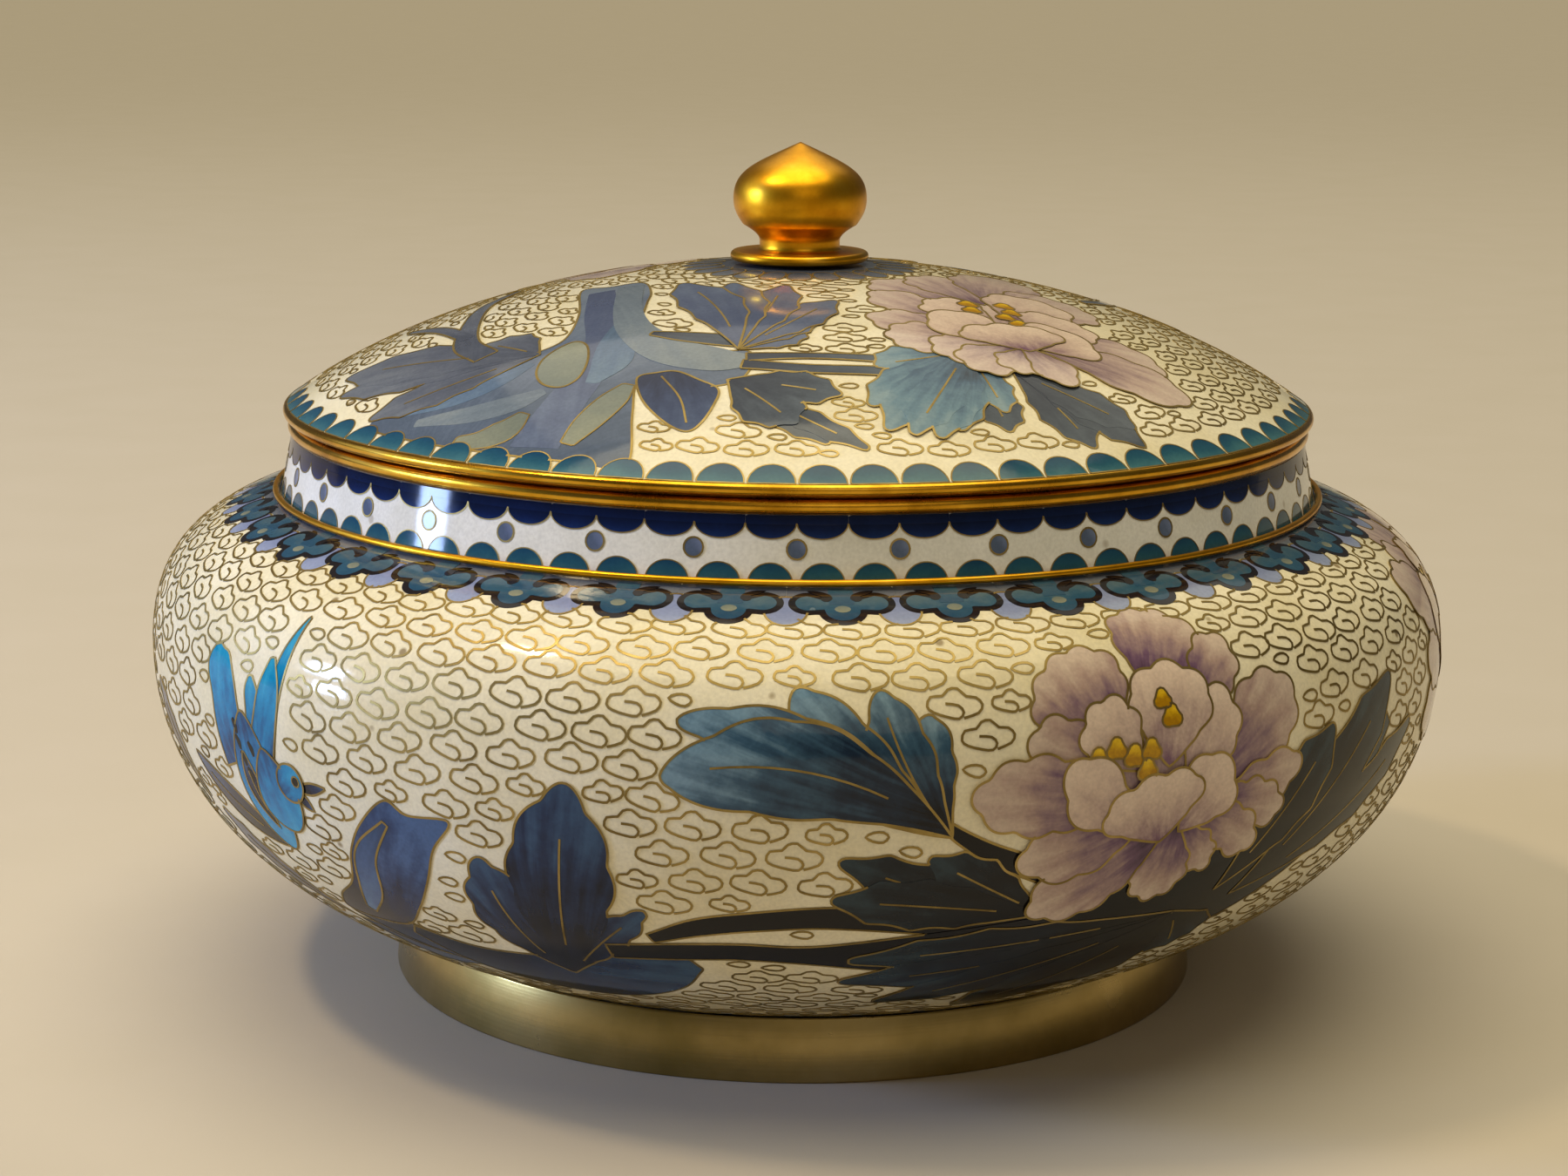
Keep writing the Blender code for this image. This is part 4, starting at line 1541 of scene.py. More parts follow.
@dataclass
class BrassParts:
    """The turned brass: foot ring, neck ring, the bands of mouth and lid, and the finial."""

    wall: float = 1.6           # mm, as are all sizes here
    bar: float = 1.0
    lip_wall: float = 1.2
    lip_room: float = 0.6       # from the lip to the mouth's inside
    bead_height: float = 1.4    # of the lid's band
    foot_taper: float = 1.1
    foot_round: float = 0.35    # of the foot ring's edges
    band_round: float = 0.12    # of the bands' edges
    joint: float = 0.3          # the CAD's gap at a soldered joint, which is closed here

    def foot_ring(self, underside: Array) -> None:
        """Makes the foot ring, whose top follows the bowl's underside.

        Args:
            underside: The bowl's outside from its base's edge upwards.
        """
        radius, bottom, top = span("foot_ring")
        top_radius = radius - self.foot_taper
        gap = float(np.interp(top_radius, underside[:, 0], underside[:, 1])) - top
        inner_top = float(np.interp(top_radius - self.wall, underside[:, 0], underside[:, 1])) - gap
        outline = np.array([(top_radius, top), (radius, bottom), (radius - self.wall, bottom),
                            (top_radius - self.wall, inner_top)])
        bm = turned(outline, True, self.foot_round)
        finish_piece("foot_band", bm, [Brass.BRUSHED], "foot_ring")

    def neck_ring(self) -> None:
        """Makes the round bar in the corner under the neck."""
        radius, bottom, top = span("neck_ring")
        bead = self.bar / 2
        middle = (radius - bead, (bottom + top) / 2)
        bm = turned(arc_of(middle, bead, 0, 330, 11), True)
        finish_piece("neck_bar", bm, [Brass.GILT_CAST], "neck_ring")

    def band(self, radius: float, bottom: float, top: float, inner: float) -> Array:
        """Outline of a band with a half-round edge, from the inside's top to the bottom of its bead.

        Args:
            radius: Outside.
            bottom: Lowest height.
            top: Highest height.
            inner: Inside radius.

        Returns:
            The open outline.
        """
        bead = (top - bottom) / 2
        return np.vstack([[(inner, top)], arc_of((radius - bead, bottom + bead), bead, 90, -90, 12)])

    def bowl_rim(self, inner: float) -> None:
        """Makes the band on the mouth, down to an inside radius."""
        radius, bottom, top = span("bowl_rim")
        bottom -= self.joint
        outline = np.vstack([self.band(radius, bottom, top, inner), [(inner, bottom)]])
        bm = turned(outline, True, self.band_round)
        finish_piece("mouth_band", bm, [Brass.GILT], "bowl_rim")

    def lid_rim(self, mouth_inner: float) -> None:
        """Makes the lid's band with the lip that drops into the mouth.

        Args:
            mouth_inner: Inside radius of the mouth.
        """
        radius, bottom, top = span("lid_rim")
        lip_radius = mouth_inner - self.lip_room
        inner = lip_radius - self.lip_wall
        seat = top - self.bead_height
        top += self.joint
        lip = [(lip_radius, seat), (lip_radius, bottom), (inner, bottom)]
        outline = np.vstack([self.band(radius, seat, top, inner), lip])
        bm = turned(outline, True, self.band_round)
        finish_piece("lid_band", bm, [Brass.GILT], "lid_rim")

    def finial(self) -> None:
        """Makes the knob: flange, neck, cup and pointed onion in one."""
        flange_radius, bottom, tip = span("finial")
        flange_top, neck_top, cup_top = bottom + 1.6, bottom + 4.0, bottom + 5.6
        neck_radius, cup = 6.2, (8.8, cup_top)
        widest = (10.3, cup_top + 3.9)
        point = (0.0, tip)
        upper = bezier(point, step_from(point, -25, 7.8), step_from(widest, 90, 4.4), widest, 28)
        lower = bezier(widest, step_from(widest, -90, 1.95), step_from(cup, 55, 0.98), cup, 12)
        hollow = bezier(cup, step_from(cup, -150, 1.6), (neck_radius, neck_top),
                        (neck_radius, neck_top - 0.9), 8)
        root = bezier((neck_radius, flange_top + 0.9), (neck_radius, flange_top + 0.2),
                      (neck_radius + 0.2, flange_top), (neck_radius + 1.0, flange_top), 5)
        bead = 0.8
        edge = arc_of((flange_radius - bead, bottom + bead), bead, 90, -90, 12)
        outline = np.vstack([upper, lower[1:], hollow[1:], root, edge, [(0.0, bottom)]])
        finish_piece("knob", turned(outline, False), [Brass.GILT_CAST], "finial")

    def build(self, shell: BowlShell) -> None:
        """Makes all of them.

        Args:
            shell: The bowl that they are fitted to.
        """
        mouth_inner = shell.neck_radius - shell.neck_taper - shell.wall
        self.foot_ring(shell.below())
        self.neck_ring()
        self.bowl_rim(mouth_inner)
        self.lid_rim(mouth_inner)
        self.finial()


# Borders


def upright_cell(ground: Ground, azimuth: float, arc: float, points: Array, shaded: Point, enamel: Enamel,
                 wire: float) -> Cell:
    """A cell drawn in mm about an azimuth and arc, and shaded from one height to another."""
    root, tip = ground.around(azimuth, arc, np.array([(0.0, height) for height in shaded]))
    return Cell(ground.around(azimuth, arc, points), enamel, root, tip, wire)


@dataclass
class NeckBorder:
    """The neck's white band: navy scallops above, teal ones below, and grey-blue beads between."""

    ground: SideGround
    scallops: int = 72
    beads: int = 36
    hem: float = 1.25           # mm, as are all sizes here: the navy strip over the upper scallops
    hem_shade: float = 3.2      # over which its tone changes
    bead_arc: float = 4.55
    bead_radius: float = 1.35
    bead_wire: float = 0.26
    scallop_wire: float = 0.16

    # Arc of a scallop's flat side, half its width, and the height of its dome, negative where it hangs.
    hanging = (1.1, 3.4, -2.1)
    standing = (9.25, 3.05, 2.9)

    def build(self) -> None:
        """Draws and makes the border."""
        upper, lower = Figure("neck_upper_scallops"), Figure("neck_lower_scallops")
        dots = Figure("neck_beads")
        step = 360 / self.scallops
        for i in range(self.scallops):
            azimuth = (i + 0.5) * step
            self.scallop(upper, azimuth, self.hanging, Enamel.NAVY)
            self.scallop(lower, azimuth, self.standing, Enamel.TEAL)
        half = math.pi * self.ground.radius(self.hem) / self.beads - SEAM
        hem = np.array([(-half, 0.0), (half, 0.0), (half, self.hem), (-half, self.hem)])
        for i in range(self.beads):
            sheet = self.ground.around(i * 360 / self.beads, self.hem, hem)
            shade_end = sheet[3] - (0.0, self.hem_shade)
            upper.cells.append(Cell(sheet, Enamel.NAVY, sheet[3], shade_end, 0.0))
        bead = arc_of((0.0, 0.0), self.bead_radius, 0, 337.5, 15)
        for i in range(self.beads):
            ring = self.ground.around(i * 360 / self.beads, self.bead_arc, bead)
            middle, top = ring.mean(axis=0), ring.max(axis=0)
            dots.cells.append(Cell(ring, Enamel.BEAD, middle, top, self.bead_wire))
        Picture("neck", self.ground, [upper, lower, dots]).build()

    def scallop(self, figure: Figure, azimuth: float, shape: Triple,
                enamel: Enamel) -> None:
        """Adds one scallop.

        Args:
            figure: Its figure.
            azimuth: Of its middle, in degrees.
            shape: Arc of its flat side, half its width, and the height of its dome.
            enamel: Its enamel.
        """
        arc, half, rise = shape
        dome = arc_of((0.0, 0.0), 1.0, 0, 180, 12) * (half, rise)
        figure.cells.append(upright_cell(self.ground, azimuth, arc, dome, (0.0, rise), enamel,
                                         self.scallop_wire))


@dataclass
class ShoulderBorder:
    """The border under the neck: blue ruyi heads with dark curled edges, and pale petals between them."""

    ground: SideGround
    heads: int = 36
    first: float = -175.9           # azimuth of the first head, in degrees
    strip_arc: float = 2.0          # mm, as are the sizes below: middle of the slate strip
    strip_half: float = 1.3
    petal_arc: float = 6.9
    petal_half: Point = (2.9, 3.4)  # half its width and height
    petal_wire: float = 0.3
    head_arc: float = 6.3
    head_edge: float = 0.95         # width of its dark edge

    def figures(self) -> list[Figure]:
        """Draws the slate ground and the petals, and then the heads."""
        petals, heads = Figure("shoulder_petals"), Figure("shoulder_ruyi")
        step = 360 / self.heads
        half = math.pi * self.ground.radius(self.strip_arc) / self.heads - SEAM
        high = self.strip_half
        strip = np.array([(-half, -high), (half, -high), (half, high), (-half, high)])
        for i in range(self.heads):
            self.add(petals, self.first + i * step, self.strip_arc, strip, Enamel.SLATE_DARK, 0.0)
        petal = arc_of((0.0, 0.0), 1.0, 0, 345, 23) * self.petal_half
        for i in range(self.heads):
            between = self.first + (i + 0.5) * step
            self.add(petals, between, self.petal_arc, petal, Enamel.PERIWINKLE, self.petal_wire)
            self.head(heads, self.first + i * step)
        return [petals, heads]

    def add(self, figure: Figure, azimuth: float, arc: float, points: Array, enamel: Enamel,
            wire: float = WIRE_WIDTH) -> None:
        """Adds a cell that is shaded from its top down.

        Args:
            figure: Its figure.
            azimuth: Of its middle, in degrees.
            arc: Of its middle, in mm.
            points: Its outline in mm.
            enamel: Its enamel.
            wire: Width of its wire; none at 0.
        """
        sheet = self.ground.around(azimuth, arc, points)
        middle = sheet.mean(axis=0)
        root, tip = (middle[0], sheet[:, 1].max()), (middle[0], sheet[:, 1].min())
        figure.cells.append(Cell(sheet, enamel, np.array(root), np.array(tip), wire))

    def head(self, figure: Figure, azimuth: float) -> None:
        """Adds one ruyi head: its dark edge, its blue field, its two curls and its pearl.

        Args:
            figure: Its figure.
            azimuth: Of its middle, in degrees.
        """
        cells = []
        for inset, enamel in ((0.0, Enamel.RUYI_DARK), (self.head_edge, Enamel.RUYI_BLUE)):
            rounds = [(-4.4, 1.2, 2.8 - inset), (4.4, 1.2, 2.8 - inset), (0.0, -0.6, 3.25 - inset)]
            cells.append((rounds_joined(rounds, (0.0, 0.4), 60), enamel))
        opening = np.array([(-1.7, 0.8), (1.7, 0.8), (1.7, 5.3), (-1.7, 5.3)])
        cells.append((opening, Enamel.RUYI_BLUE))
        hook = ((4.6, 4.3), (2.9, 4.2), (1.5, 3.3), (1.2, 2.2), (2.0, 1.5), (2.8, 2.0), (2.6, 2.9),
                (3.6, 3.4))
        for side in (-1, 1):
            curl = smooth_line([(side * x, y) for x, y in hook], 3, closed=True)
            cells.append((curl, Enamel.RUYI_DARK))
        cells.append((arc_of((0.0, -0.4), 1.0, 0, 330, 11) * (1.1, 0.8), Enamel.SAGE))
        for points, enamel in cells:
            self.add(figure, azimuth, self.head_arc, points, enamel, 0.0)


@dataclass
class LidBorders:
    """The lid's borders: teal scallops round its edge, and slate lappets round the finial."""

    ground: DomeGround
    scallops: int = 72
    lappets: int = 24
    edge_gap: float = 0.02              # mm, as are all sizes here: from the scallops to the lid's edge
    scallop_size: Point = (3.25, 3.7)   # half its width, and its height
    scallop_wire: float = 0.2
    disc_radius: float = 16.6           # of the slate ground under the lappets
    lappet_arc: float = 15.0
    lappet_wire: float = 0.26

    def figures(self) -> list[Figure]:
        """Draws both borders."""
        edge, knob = Figure("lid_scallops"), Figure("lid_lappets")
        end = self.ground.arcs[-1] - self.edge_gap
        dome = arc_of((0.0, 0.0), 1.0, 0, 180, 12) * self.scallop_size
        shaded = (0.0, self.scallop_size[1])
        for i in range(self.scallops):
            azimuth = (i + 0.5) * 360 / self.scallops
            edge.cells.append(upright_cell(self.ground, azimuth, end, dome, shaded, Enamel.TEAL,
                                           self.scallop_wire))
        disc = arc_of((0.0, 0.0), self.disc_radius, 0, 355, 71)
        knob.cells.append(Cell(disc, Enamel.SLATE_DARK, np.zeros(2), disc[0], 0.0))
        petal = smooth_line([(-1.3, 2.2), (-1.8, 0.2), (-1.7, -2.2), (0.0, -3.4), (1.7, -2.2), (1.8, 0.2),
                             (1.3, 2.2), (0.0, 3.0)], 4, closed=True)
        for i in range(self.lappets):
            knob.cells.append(upright_cell(self.ground, i * 360 / self.lappets, self.lappet_arc, petal,
                                           (3.0, -3.4), Enamel.SLATE_DARK, self.lappet_wire))
        return [edge, knob]


# Pictures


@dataclass
class BellyPicture:
    """The belly's picture: peonies on a dark branch, leaves, rocks and a bird, over a field of clouds."""

    ground: SideGround

    def peony_spray(self, pen: Pen, name: str) -> list[Figure]:
        """Draws the branch, its leaves and the large flower.

        Args:
            pen: Where it goes.
            name: First word of its figures' names.

        Returns:
            The figures, lowest first.
        """
        parts = ("branch", "dark_leaves", "leaves", "peony")
        branch, dark, blue, flower = (Figure(f"{name}_{part}") for part in parts)
        whole = object()
        for knots in (((-11.8, 58.5, 2.0), (-7.7, 55.6, 3.4), (-2.8, 54.0, 3.6), (2.7, 53.2, 4.0),
                       (9.7, 54.0, 5.0), (21.0, 56.6, 7.0)),
                      ((-15.8, 62.4, 3.4), (-9.5, 61.2, 3.8), (-4.3, 60.6, 3.8), (1.5, 61.2, 4.4),
                       (10.3, 61.4, 9.0), (22.0, 60.7, 12.0)),
                      ((11.0, 38.5, 1.4), (13.1, 41.2, 2.2), (16.0, 44.1, 3.0), (22.2, 48.7, 4.2))):
            pen.bough(branch, knots, Enamel.STEM, whole)
        pen.bough(dark, ((21.0, 57.0, 14.0), (28.6, 57.5, 19.0), (36.5, 55.0, 19.0), (44.5, 49.5, 14.0),
                         (52.0, 41.0, 9.0), (57.0, 34.0, 4.0)), Enamel.LEAF_DARK)
        Leaf((40, 57), ((62.5, 37.0, 7.0), (57.4, 28.6, 10.5)), Enamel.LEAF_DARK,
             (-0.03, 0.03)).draw(pen, dark)
        Leaf((37.5, 55), ((47.9, 33.0, 10.0),), Enamel.LEAF_DARK, (0.04,)).draw(pen, dark)
        Leaf((20.6, 54.5), ((3.7, 43.8, 7.0), (10.5, 43.8, 7.0), (3.2, 50.1, 8.0)), Enamel.LEAF_DARK,
             (0.04, 0.0, -0.04)).draw(pen, dark)
        Leaf((34, 58), ((5.0, 62.5, 7.5), (4.4, 68.6, 8.5), (37.3, 68.5, 12.0), (28.0, 77.8, 12.0),
                        (8.4, 77.6, 9.0), (17.8, 83.4, 12.0)),
             Enamel.LEAF_DARK, (0.0, 0.06, 0.03, 0.0)).draw(pen, dark)
        Leaf((11.9, 40.6), ((10.1, 24.4, 6.6), (6.4, 21.2, 7.4), (0.1, 20.9, 9.4), (-8.6, 25.2, 7.0),
                            (-9.8, 32.4, 12.4)),
             Enamel.LEAF_BLUE, (0.2, 0.12, 0.14, -0.2, -0.26), 0.85, 4.0, 0.5, False, 0.62,
             False).draw(pen, blue)
        Peony((29.0, 36.5)).draw(pen, flower)
        return [branch, dark, blue, flower]

    def rock_group(self, pen: Pen, name: str) -> list[Figure]:
        """Draws the rocks and the navy leaf in front of them.

        Args:
            pen: Where it goes.
            name: First word of its figures' names.

        Returns:
            The figures, lowest first.
        """
        rock, leaf = Figure(f"{name}_rock"), Figure(f"{name}_navy_leaf")
        Leaf((-46.0, 68.0), ((-59.6, 52.2, 5.0), (-33.0, 74.5, 9.0)), Enamel.LEAF_NAVY,
             (0.06, -0.1)).draw(pen, rock)
        pen.bough(rock, ((-45.0, 64.5, 3.0), (-38.5, 67.5, 8.0), (-33.0, 71.0, 7.0), (-27.5, 75.5, 3.0)),
                  Enamel.LEAF_NAVY)
        pen.area(rock, [(-33.5, 40.4), (-31.4, 42.0), (-27.4, 41.9), (-29.4, 46.7), (-31.0, 52.5),
                        (-33.6, 59.0), (-37.6, 65.0), (-45.0, 65.4), (-44.4, 61.4), (-40.7, 56.5),
                        (-38.6, 49.8), (-36.4, 44.6)],
                 Enamel.ROCK, (-39, 66), (-34, 41))
        pen.bough(rock, ((-33.8, 44.0, 1.0), (-37.0, 50.0, 3.4), (-38.6, 57.0, 4.0), (-41.0, 63.0, 1.6)),
                  Enamel.ROCK_PALE)
        pen.bough(leaf, ((-37.0, 66.0, 3.0), (-30.0, 72.0, 10.0), (-20.5, 73.0, 15.0), (-13.0, 68.0, 13.0),
                         (-8.3, 64.4, 3.0)), Enamel.LEAF_NAVY)
        Leaf((-20.7, 71.0), ((-12.0, 53.4, 4.8), (-25.2, 47.2, 9.2), (-17.4, 35.0, 13.6)), Enamel.LEAF_NAVY,
             (0.08, 0.1, -0.02), 0.8, 5.0, 0.8, False).draw(pen, leaf)
        return [rock, leaf]

    def figures(self) -> list[Figure]:
        """Draws the whole belly, the front last."""
        front, back = Pen(self.ground), Pen(self.ground, 176.0, mirrored=True)
        behind = self.rock_group(back, "back") + self.peony_spray(back, "back")
        side, sliver, bird = Figure("side_peony"), Figure("side_leaf"), Figure("bird")
        Leaf((92, 60), ((80, 52, 9.0), (112, 46, 10.0), (97, 66, 11.0)), Enamel.LEAF_DARK).draw(front, side)
        Peony((82.0, 30.0), OPEN_BLOOM, 1.05, -24.0, Enamel.MAUVE).draw(front, side)
        Leaf((-62.0, 51.0), ((-71.0, 36.0, 4.5),), Enamel.LEAF_NAVY).draw(front, sliver)
        Bird().draw(front, bird)
        before = self.rock_group(front, "front") + self.peony_spray(front, "front")
        return behind + [side, sliver, bird] + before

    def build(self) -> None:
        """Makes the shoulder's border, the picture and the clouds."""
        picture = Picture("belly", self.ground, self.figures() + ShoulderBorder(self.ground).figures())
        picture.build()
        CloudField(picture, "belly_clouds", first_arc=12.9, last_arc=93.5).build(parts=2)


@dataclass
class LidPicture:
    """The lid's picture: a peony, leaves and rocks round the finial, over a field of clouds."""

    ground: DomeGround
    sage_wire: float = 0.24     # mm, round the trunk's pale bands

    def trunk(self, pen: Pen, rock: Figure) -> None:
        """Draws the rock that climbs like an old trunk, its bright bough and its pale hollows.

        Args:
            pen: Draws it.
            rock: The figure that takes it.
        """
        pen.area(rock, [(-33.1, -12.4), (-28.8, -13.0), (-23.7, -13.2), (-22.1, -21.0), (-22.5, -28.0),
                        (-22.6, -38.5), (-17.7, -45.4), (-10.8, -49.7), (-7.0, -50.5), (-6.6, -55.1),
                        (-8.8, -59.6), (-14.3, -60.4), (-19.3, -58.3), (-22.8, -57.6), (-23.3, -66.0),
                        (-24.0, -77.0), (-31.5, -74.2), (-39.5, -70.2), (-47.0, -65.3), (-54.5, -59.2),
                        (-62.0, -51.0), (-63.0, -46.5), (-53.1, -47.6), (-45.0, -46.0), (-38.9, -41.9),
                        (-34.2, -38.5), (-32.6, -28.1)], Enamel.SLATE, (-50, -60), (-26, -14))
        bands = (
            (Enamel.SLATE_DEEP, ((-29.8, -16, 4.0), (-29.2, -30, 5.0), (-29.0, -42, 4.0), (-30.2, -52, 6.0),
                                 (-33.4, -60, 7.0), (-37.4, -69.0, 8.0))),
            (Enamel.SLATE_BLUE, ((-25.4, -34.0, 2.0), (-26.4, -43.0, 5.0), (-26.8, -50.0, 6.0),
                                 (-29.5, -55.5, 2.0))),
            (Enamel.SLATE_PALE, ((-25.4, -15, 4.0), (-25.2, -30, 4.4), (-23.4, -40, 5.6), (-18.5, -48.4, 7.4),
                                 (-12.0, -52.6, 7.0), (-7.4, -53.6, 4.0))),
            (Enamel.SLATE_BLUE, ((-38.7, -45.0, 2.0), (-43.8, -48.4, 4.0), (-50.3, -50.1, 3.6),
                                 (-59.0, -48.2, 1.6))),
            (Enamel.SLATE_PALE, ((-36.3, -55.0, 2.0), (-40.7, -56.4, 4.6), (-47.3, -56.0, 4.4),
                                 (-56.0, -53.0, 1.8))),
            (Enamel.SAGE, ((-24.0, -57.6, 2.0), (-26.2, -61.2, 4.6), (-29.6, -65.8, 4.6),
                           (-32.6, -70.0, 2.4))),
            (Enamel.SAGE, ((-39.0, -60.0, 2.0), (-42.0, -63.0, 5.4), (-46.0, -63.4, 4.0),
                           (-49.4, -61.6, 1.4))),
        )
        for enamel, knots in bands:
            pen.bough(rock, knots, enamel, wire=self.sage_wire if enamel is Enamel.SAGE else 0.0)
        pen.area(rock, [(-30.6, -42.9), (-30.3, -48.3), (-31.4, -53.2), (-33.8, -55.0), (-36.6, -53.0),
                        (-37.8, -49.0), (-37.0, -44.5), (-34.4, -41.2), (-32.2, -40.4)],
                 Enamel.SAGE, (-36, -52), (-33, -40))

    def half(self, pen: Pen, name: str) -> list[Figure]:
        """Draws one side of the lid.

        Args:
            pen: Where it goes.
            name: First word of its figures' names.

        Returns:
            The figures, lowest first.
        """
        parts = ("rock", "branch", "leaves", "flower")
        rock, branch, leaves, flower = (Figure(f"{name}_{part}") for part in parts)
        self.trunk(pen, rock)
        Leaf((-37.6, -42.6), ((-46.1, -32.6, 9.0), (-63.4, -45.4, 8.5), (-69.4, -30.4, 9.5),
                              (-69.2, -21.8, 11.5)),
             Enamel.SLATE_DARK, (0.0, 0.06, 0.02, 0.06)).draw(pen, branch)
        whole = object()
        for knots in (((-46.0, -38.0, 4.0), (-49.6, -30.0, 4.0), (-49.9, -18.0, 3.0), (-48.6, -6.0, 2.4),
                       (-44, 4, 1.4)),
                      ((-49.6, -27.0, 2.4), (-55.0, -15.5, 2.2), (-61.0, -7.0, 1.2))):
            pen.bough(branch, knots, Enamel.SLATE_DARK, whole)
        for knots in (((-21.3, -41.6, 1.4), (-15.9, -44.3, 3.2), (-8.9, -46.9, 3.8), (-5.0, -47.6, 2.0)),
                      ((-7.4, -52.4, 2.4), (1.6, -52.2, 1.7), (12.0, -52.0, 2.2)),
                      ((-8.0, -54.6, 2.6), (1.7, -56.2, 2.4), (12.0, -55.8, 2.6))):
            pen.bough(branch, knots, Enamel.DUSK_DARK, whole)
        Leaf((-8.6, -50.0), ((0.8, -42.6, 6.0), (2.6, -36.0, 6.0), (5.0, -30.4, 7.0), (-2.2, -22.6, 7.4),
                             (-10.0, -20.4, 8.0), (-17.6, -18.4, 8.6)), Enamel.SLATE_DEEP,
             (-0.1, -0.08, -0.05, -0.04, -0.04, -0.08), joined=False).draw(pen, leaves)
        pen.area(leaves, [(-22.8, -55.9), (-20.0, -55.2), (-17.2, -55.4), (-14.0, -58.4), (-11.2, -61.4),
                          (-11.8, -65.3), (-13.4, -69.3), (-15.4, -71.2), (-18.0, -69.4), (-20.8, -65.1),
                          (-22.4, -60.8)], Enamel.DUSK_NAVY, (-17.5, -56.0), (-15.4, -71.0))
        rib = [pen.spot(place) for place in ((-19.4, -56.4), (-16.6, -63.0), (-15.6, -69.2))]
        leaves.ribs.append((len(leaves.cells) - 1, smooth_line(rib, 4)))
        Leaf((-10.0, -59.0), ((4.3, -74.4, 4.6), (9.8, -75.2, 4.2), (5.6, -63.0, 8.0), (-0.7, -70.4, 9.6)),
             Enamel.DUSK_DARK, (-0.08, -0.08, 0.0, 0.04)).draw(pen, leaves)
        Leaf((25.2, -52.0), ((29.8, -66.6, 7.0),), Enamel.DUSK_DARK).draw(pen, leaves)
        Leaf((24.1, -46.5), ((29.3, -62.0, 6.0), (11.0, -54.0, 8.5), (10.2, -65.0, 8.0), (23.0, -68.6, 7.0),
                             (12.7, -70.6, 7.5), (19.8, -71.0, 7.0), (16.2, -71.0, 7.0)), Enamel.TEAL_LEAF,
             (0.0, 0.06, 0.03, -0.04)).draw(pen, leaves)
        Leaf((30.5, -50.0), ((42.0, -65.4, 8.0), (49.6, -61.0, 8.0), (48.4, -57.0, 8.5)), Enamel.DUSK_DARK,
             (0.04, 0.0, -0.04)).draw(pen, leaves)
        Peony((27.0, -35.0), LEANING_BLOOM, 1.0, 0.0, Enamel.MAUVE).draw(pen, flower)
        return [rock, branch, leaves, flower]

    def figures(self) -> list[Figure]:
        """Draws both sides, the front last."""
        return self.half(Pen(self.ground, 180.0), "lid_back") + self.half(Pen(self.ground), "lid_front")

    def build(self) -> None:
        """Makes the borders, the picture and the clouds."""
        picture = Picture("lid", self.ground, self.figures() + LidBorders(self.ground).figures())
        picture.build()
        CloudField(picture, "lid_clouds", first_arc=21.5, last_arc=78.2, across=7.2, down=3.75, band=1,
                   seed=9, scale=0.84).build()


# Studio


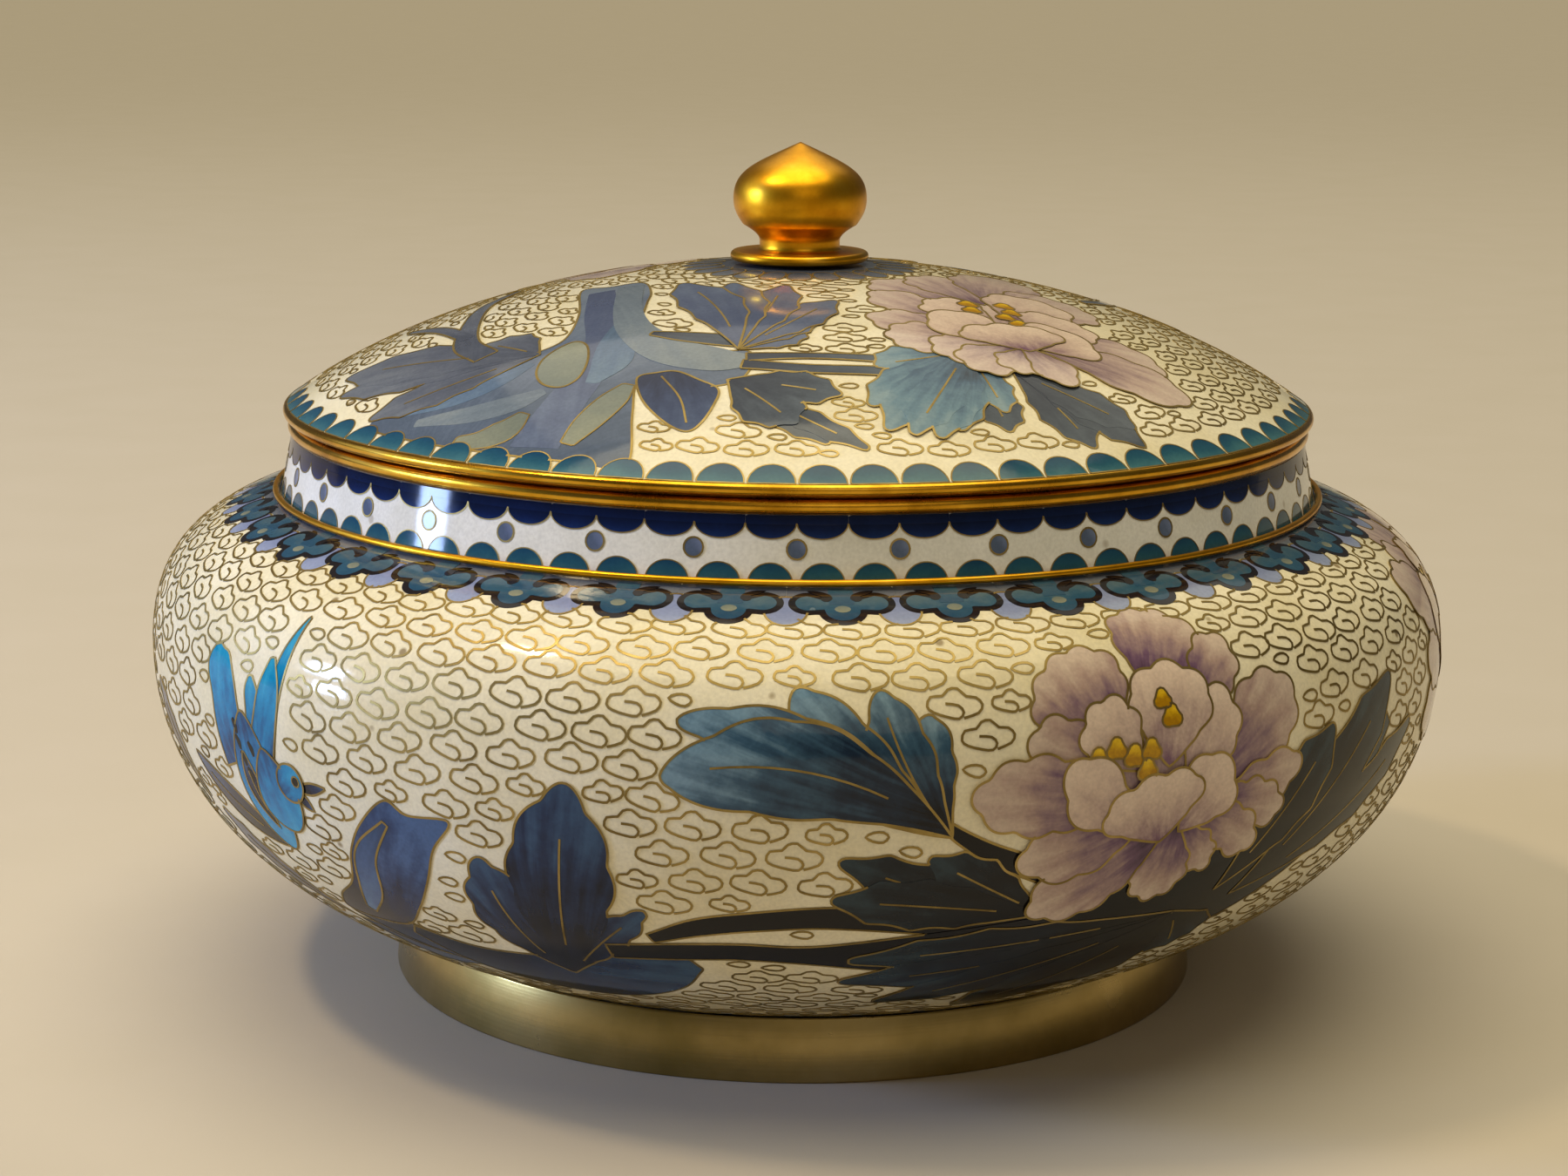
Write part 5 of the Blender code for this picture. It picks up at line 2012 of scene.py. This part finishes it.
@dataclass
class Studio:
    """A pale floor, soft light and the camera at the photograph's angle."""

    floor_size: float = 24.0
    camera_place: Triple = (0.0, -0.49605, 0.16252)
    camera_turn: Triple = (78.2083, -0.5082, 0.3297)    # degrees
    lens: float = 73.54                                                     # mm
    sensor: float = 36.0                                                    # mm
    faced: Triple = (0.0, 0.0, 0.06)                    # what the lights shine at

    def floor(self) -> None:
        """Makes the floor: matt painted board, pale warm grey."""
        bm = bmesh.new()
        bmesh.ops.create_grid(bm, x_segments=1, y_segments=1, size=self.floor_size / 2)
        mesh = bpy.data.meshes.new("studio_floor")
        bm.to_mesh(mesh)
        bm.free()
        material, tree, shader, place = new_material("matt_painted_board")
        noise = add_node(tree, "TexNoise", {"Vector": place, "Scale": 30.0, "Detail": 3.0})
        colour = add_node(tree, "ValToRGB", {"Fac": noise.outputs["Fac"]},
                          stops=[(0.3, "#BEB6A9"), (0.7, "#C0B8AC")])
        tree.links.new(colour.outputs["Color"], shader.inputs["Base Color"])
        shader.inputs["Roughness"].default_value = 0.75
        mesh.materials.append(material)
        floor = bpy.data.objects.new("studio_floor", mesh)
        bpy.context.scene.collection.objects.link(floor)
        floor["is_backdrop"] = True

    def light(self, name: str, place: Triple, size: tuple[float, float], power: float,
              colour: str) -> None:
        """Adds an area light that faces the bowl.

        Args:
            name: Its name.
            place: Where it stands, in metres.
            size: Width and height in metres.
            power: In watts.
            colour: Its colour.
        """
        data = bpy.data.lights.new(name, "AREA")
        data.shape = "RECTANGLE"
        data.size, data.size_y = size
        data.energy = power
        data.color = linear(colour)[:3]
        lamp = bpy.data.objects.new(name, data)
        lamp.location = place
        way = Vector(self.faced) - Vector(place)
        lamp.rotation_euler = way.to_track_quat("-Z", "Y").to_euler()
        bpy.context.scene.collection.objects.link(lamp)

    def sun(self) -> None:
        """Adds the room's soft light from above, which reaches the whole floor evenly."""
        data = bpy.data.lights.new("room_light", "SUN")
        data.energy = 2.3
        data.angle = math.radians(60)
        data.color = linear("#FFF1CB")[:3]
        light = bpy.data.objects.new("room_light", data)
        light.rotation_euler = Euler([math.radians(angle) for angle in (3, -1, 0)], "XYZ")
        bpy.context.scene.collection.objects.link(light)

    def camera(self) -> None:
        """Adds the camera."""
        data = bpy.data.cameras.new("photo_camera")
        data.lens = self.lens
        data.sensor_width = self.sensor
        data.clip_start = 0.01
        data.clip_end = 50.0
        camera = bpy.data.objects.new("photo_camera", data)
        camera.location = self.camera_place
        camera.rotation_euler = Euler([math.radians(angle) for angle in self.camera_turn], "XYZ")
        bpy.context.scene.collection.objects.link(camera)
        bpy.context.scene.camera = camera

    def build(self) -> None:
        """Makes the whole studio, with plain tones as a camera keeps them."""
        bpy.context.scene.view_settings.view_transform = "Standard"
        self.floor()
        self.camera()
        self.sun()
        self.light("window", (-1.45, -0.10, 0.42), (0.20, 0.17), 11.0, "#B0CAFF")
        self.light("low_window", (-1.45, -0.18, 0.19), (0.20, 0.13), 4.0, "#B0CAFF")
        self.light("lamp", (-0.50, -0.13, 0.90), (0.17, 0.07), 2.8, "#FFE2AE")
        self.light("ceiling", (0.1, 1.1, 1.5), (1.6, 1.0), 4.0, "#F6EEDC")
        self.light("left_wall", (-1.3, 0.25, 0.75), (1.0, 1.0), 2.6, "#D4E0FF")
        self.light("front_wall", (0.35, -1.6, 0.9), (1.2, 0.9), 2.8, "#FFEBCC")
        world = bpy.data.worlds.new("studio_room")
        bpy.context.scene.world = world
        world.use_nodes = True
        background = world.node_tree.nodes["Background"]
        background.inputs["Color"].default_value = linear("#D8D4CC")
        background.inputs["Strength"].default_value = 0.1


def numbers(corners: Iterable[Vector]) -> list[list[float]]:
    """A box's corners as plain lists."""
    return [[float(value) for value in corner] for corner in corners]


def main() -> None:
    """Builds the bowl, its lid, its pictures and the studio."""
    logging.basicConfig(level=logging.INFO, format="%(message)s")
    cad_box = numbers(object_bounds())

    belly_radius, base_height, mouth_height = span("bowl")
    bowl = BowlShell(belly_radius, base_height, mouth_height)
    bowl.build()
    lid = LidShell(*span("lid"))
    lid.build()
    BrassParts().build(bowl)

    NeckBorder(bowl.neck_ground()).build()
    BellyPicture(bowl.belly_ground()).build()
    LidPicture(lid.ground()).build()
    Studio().build()

    numbers(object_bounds())


if __name__ == "__main__":
    main()
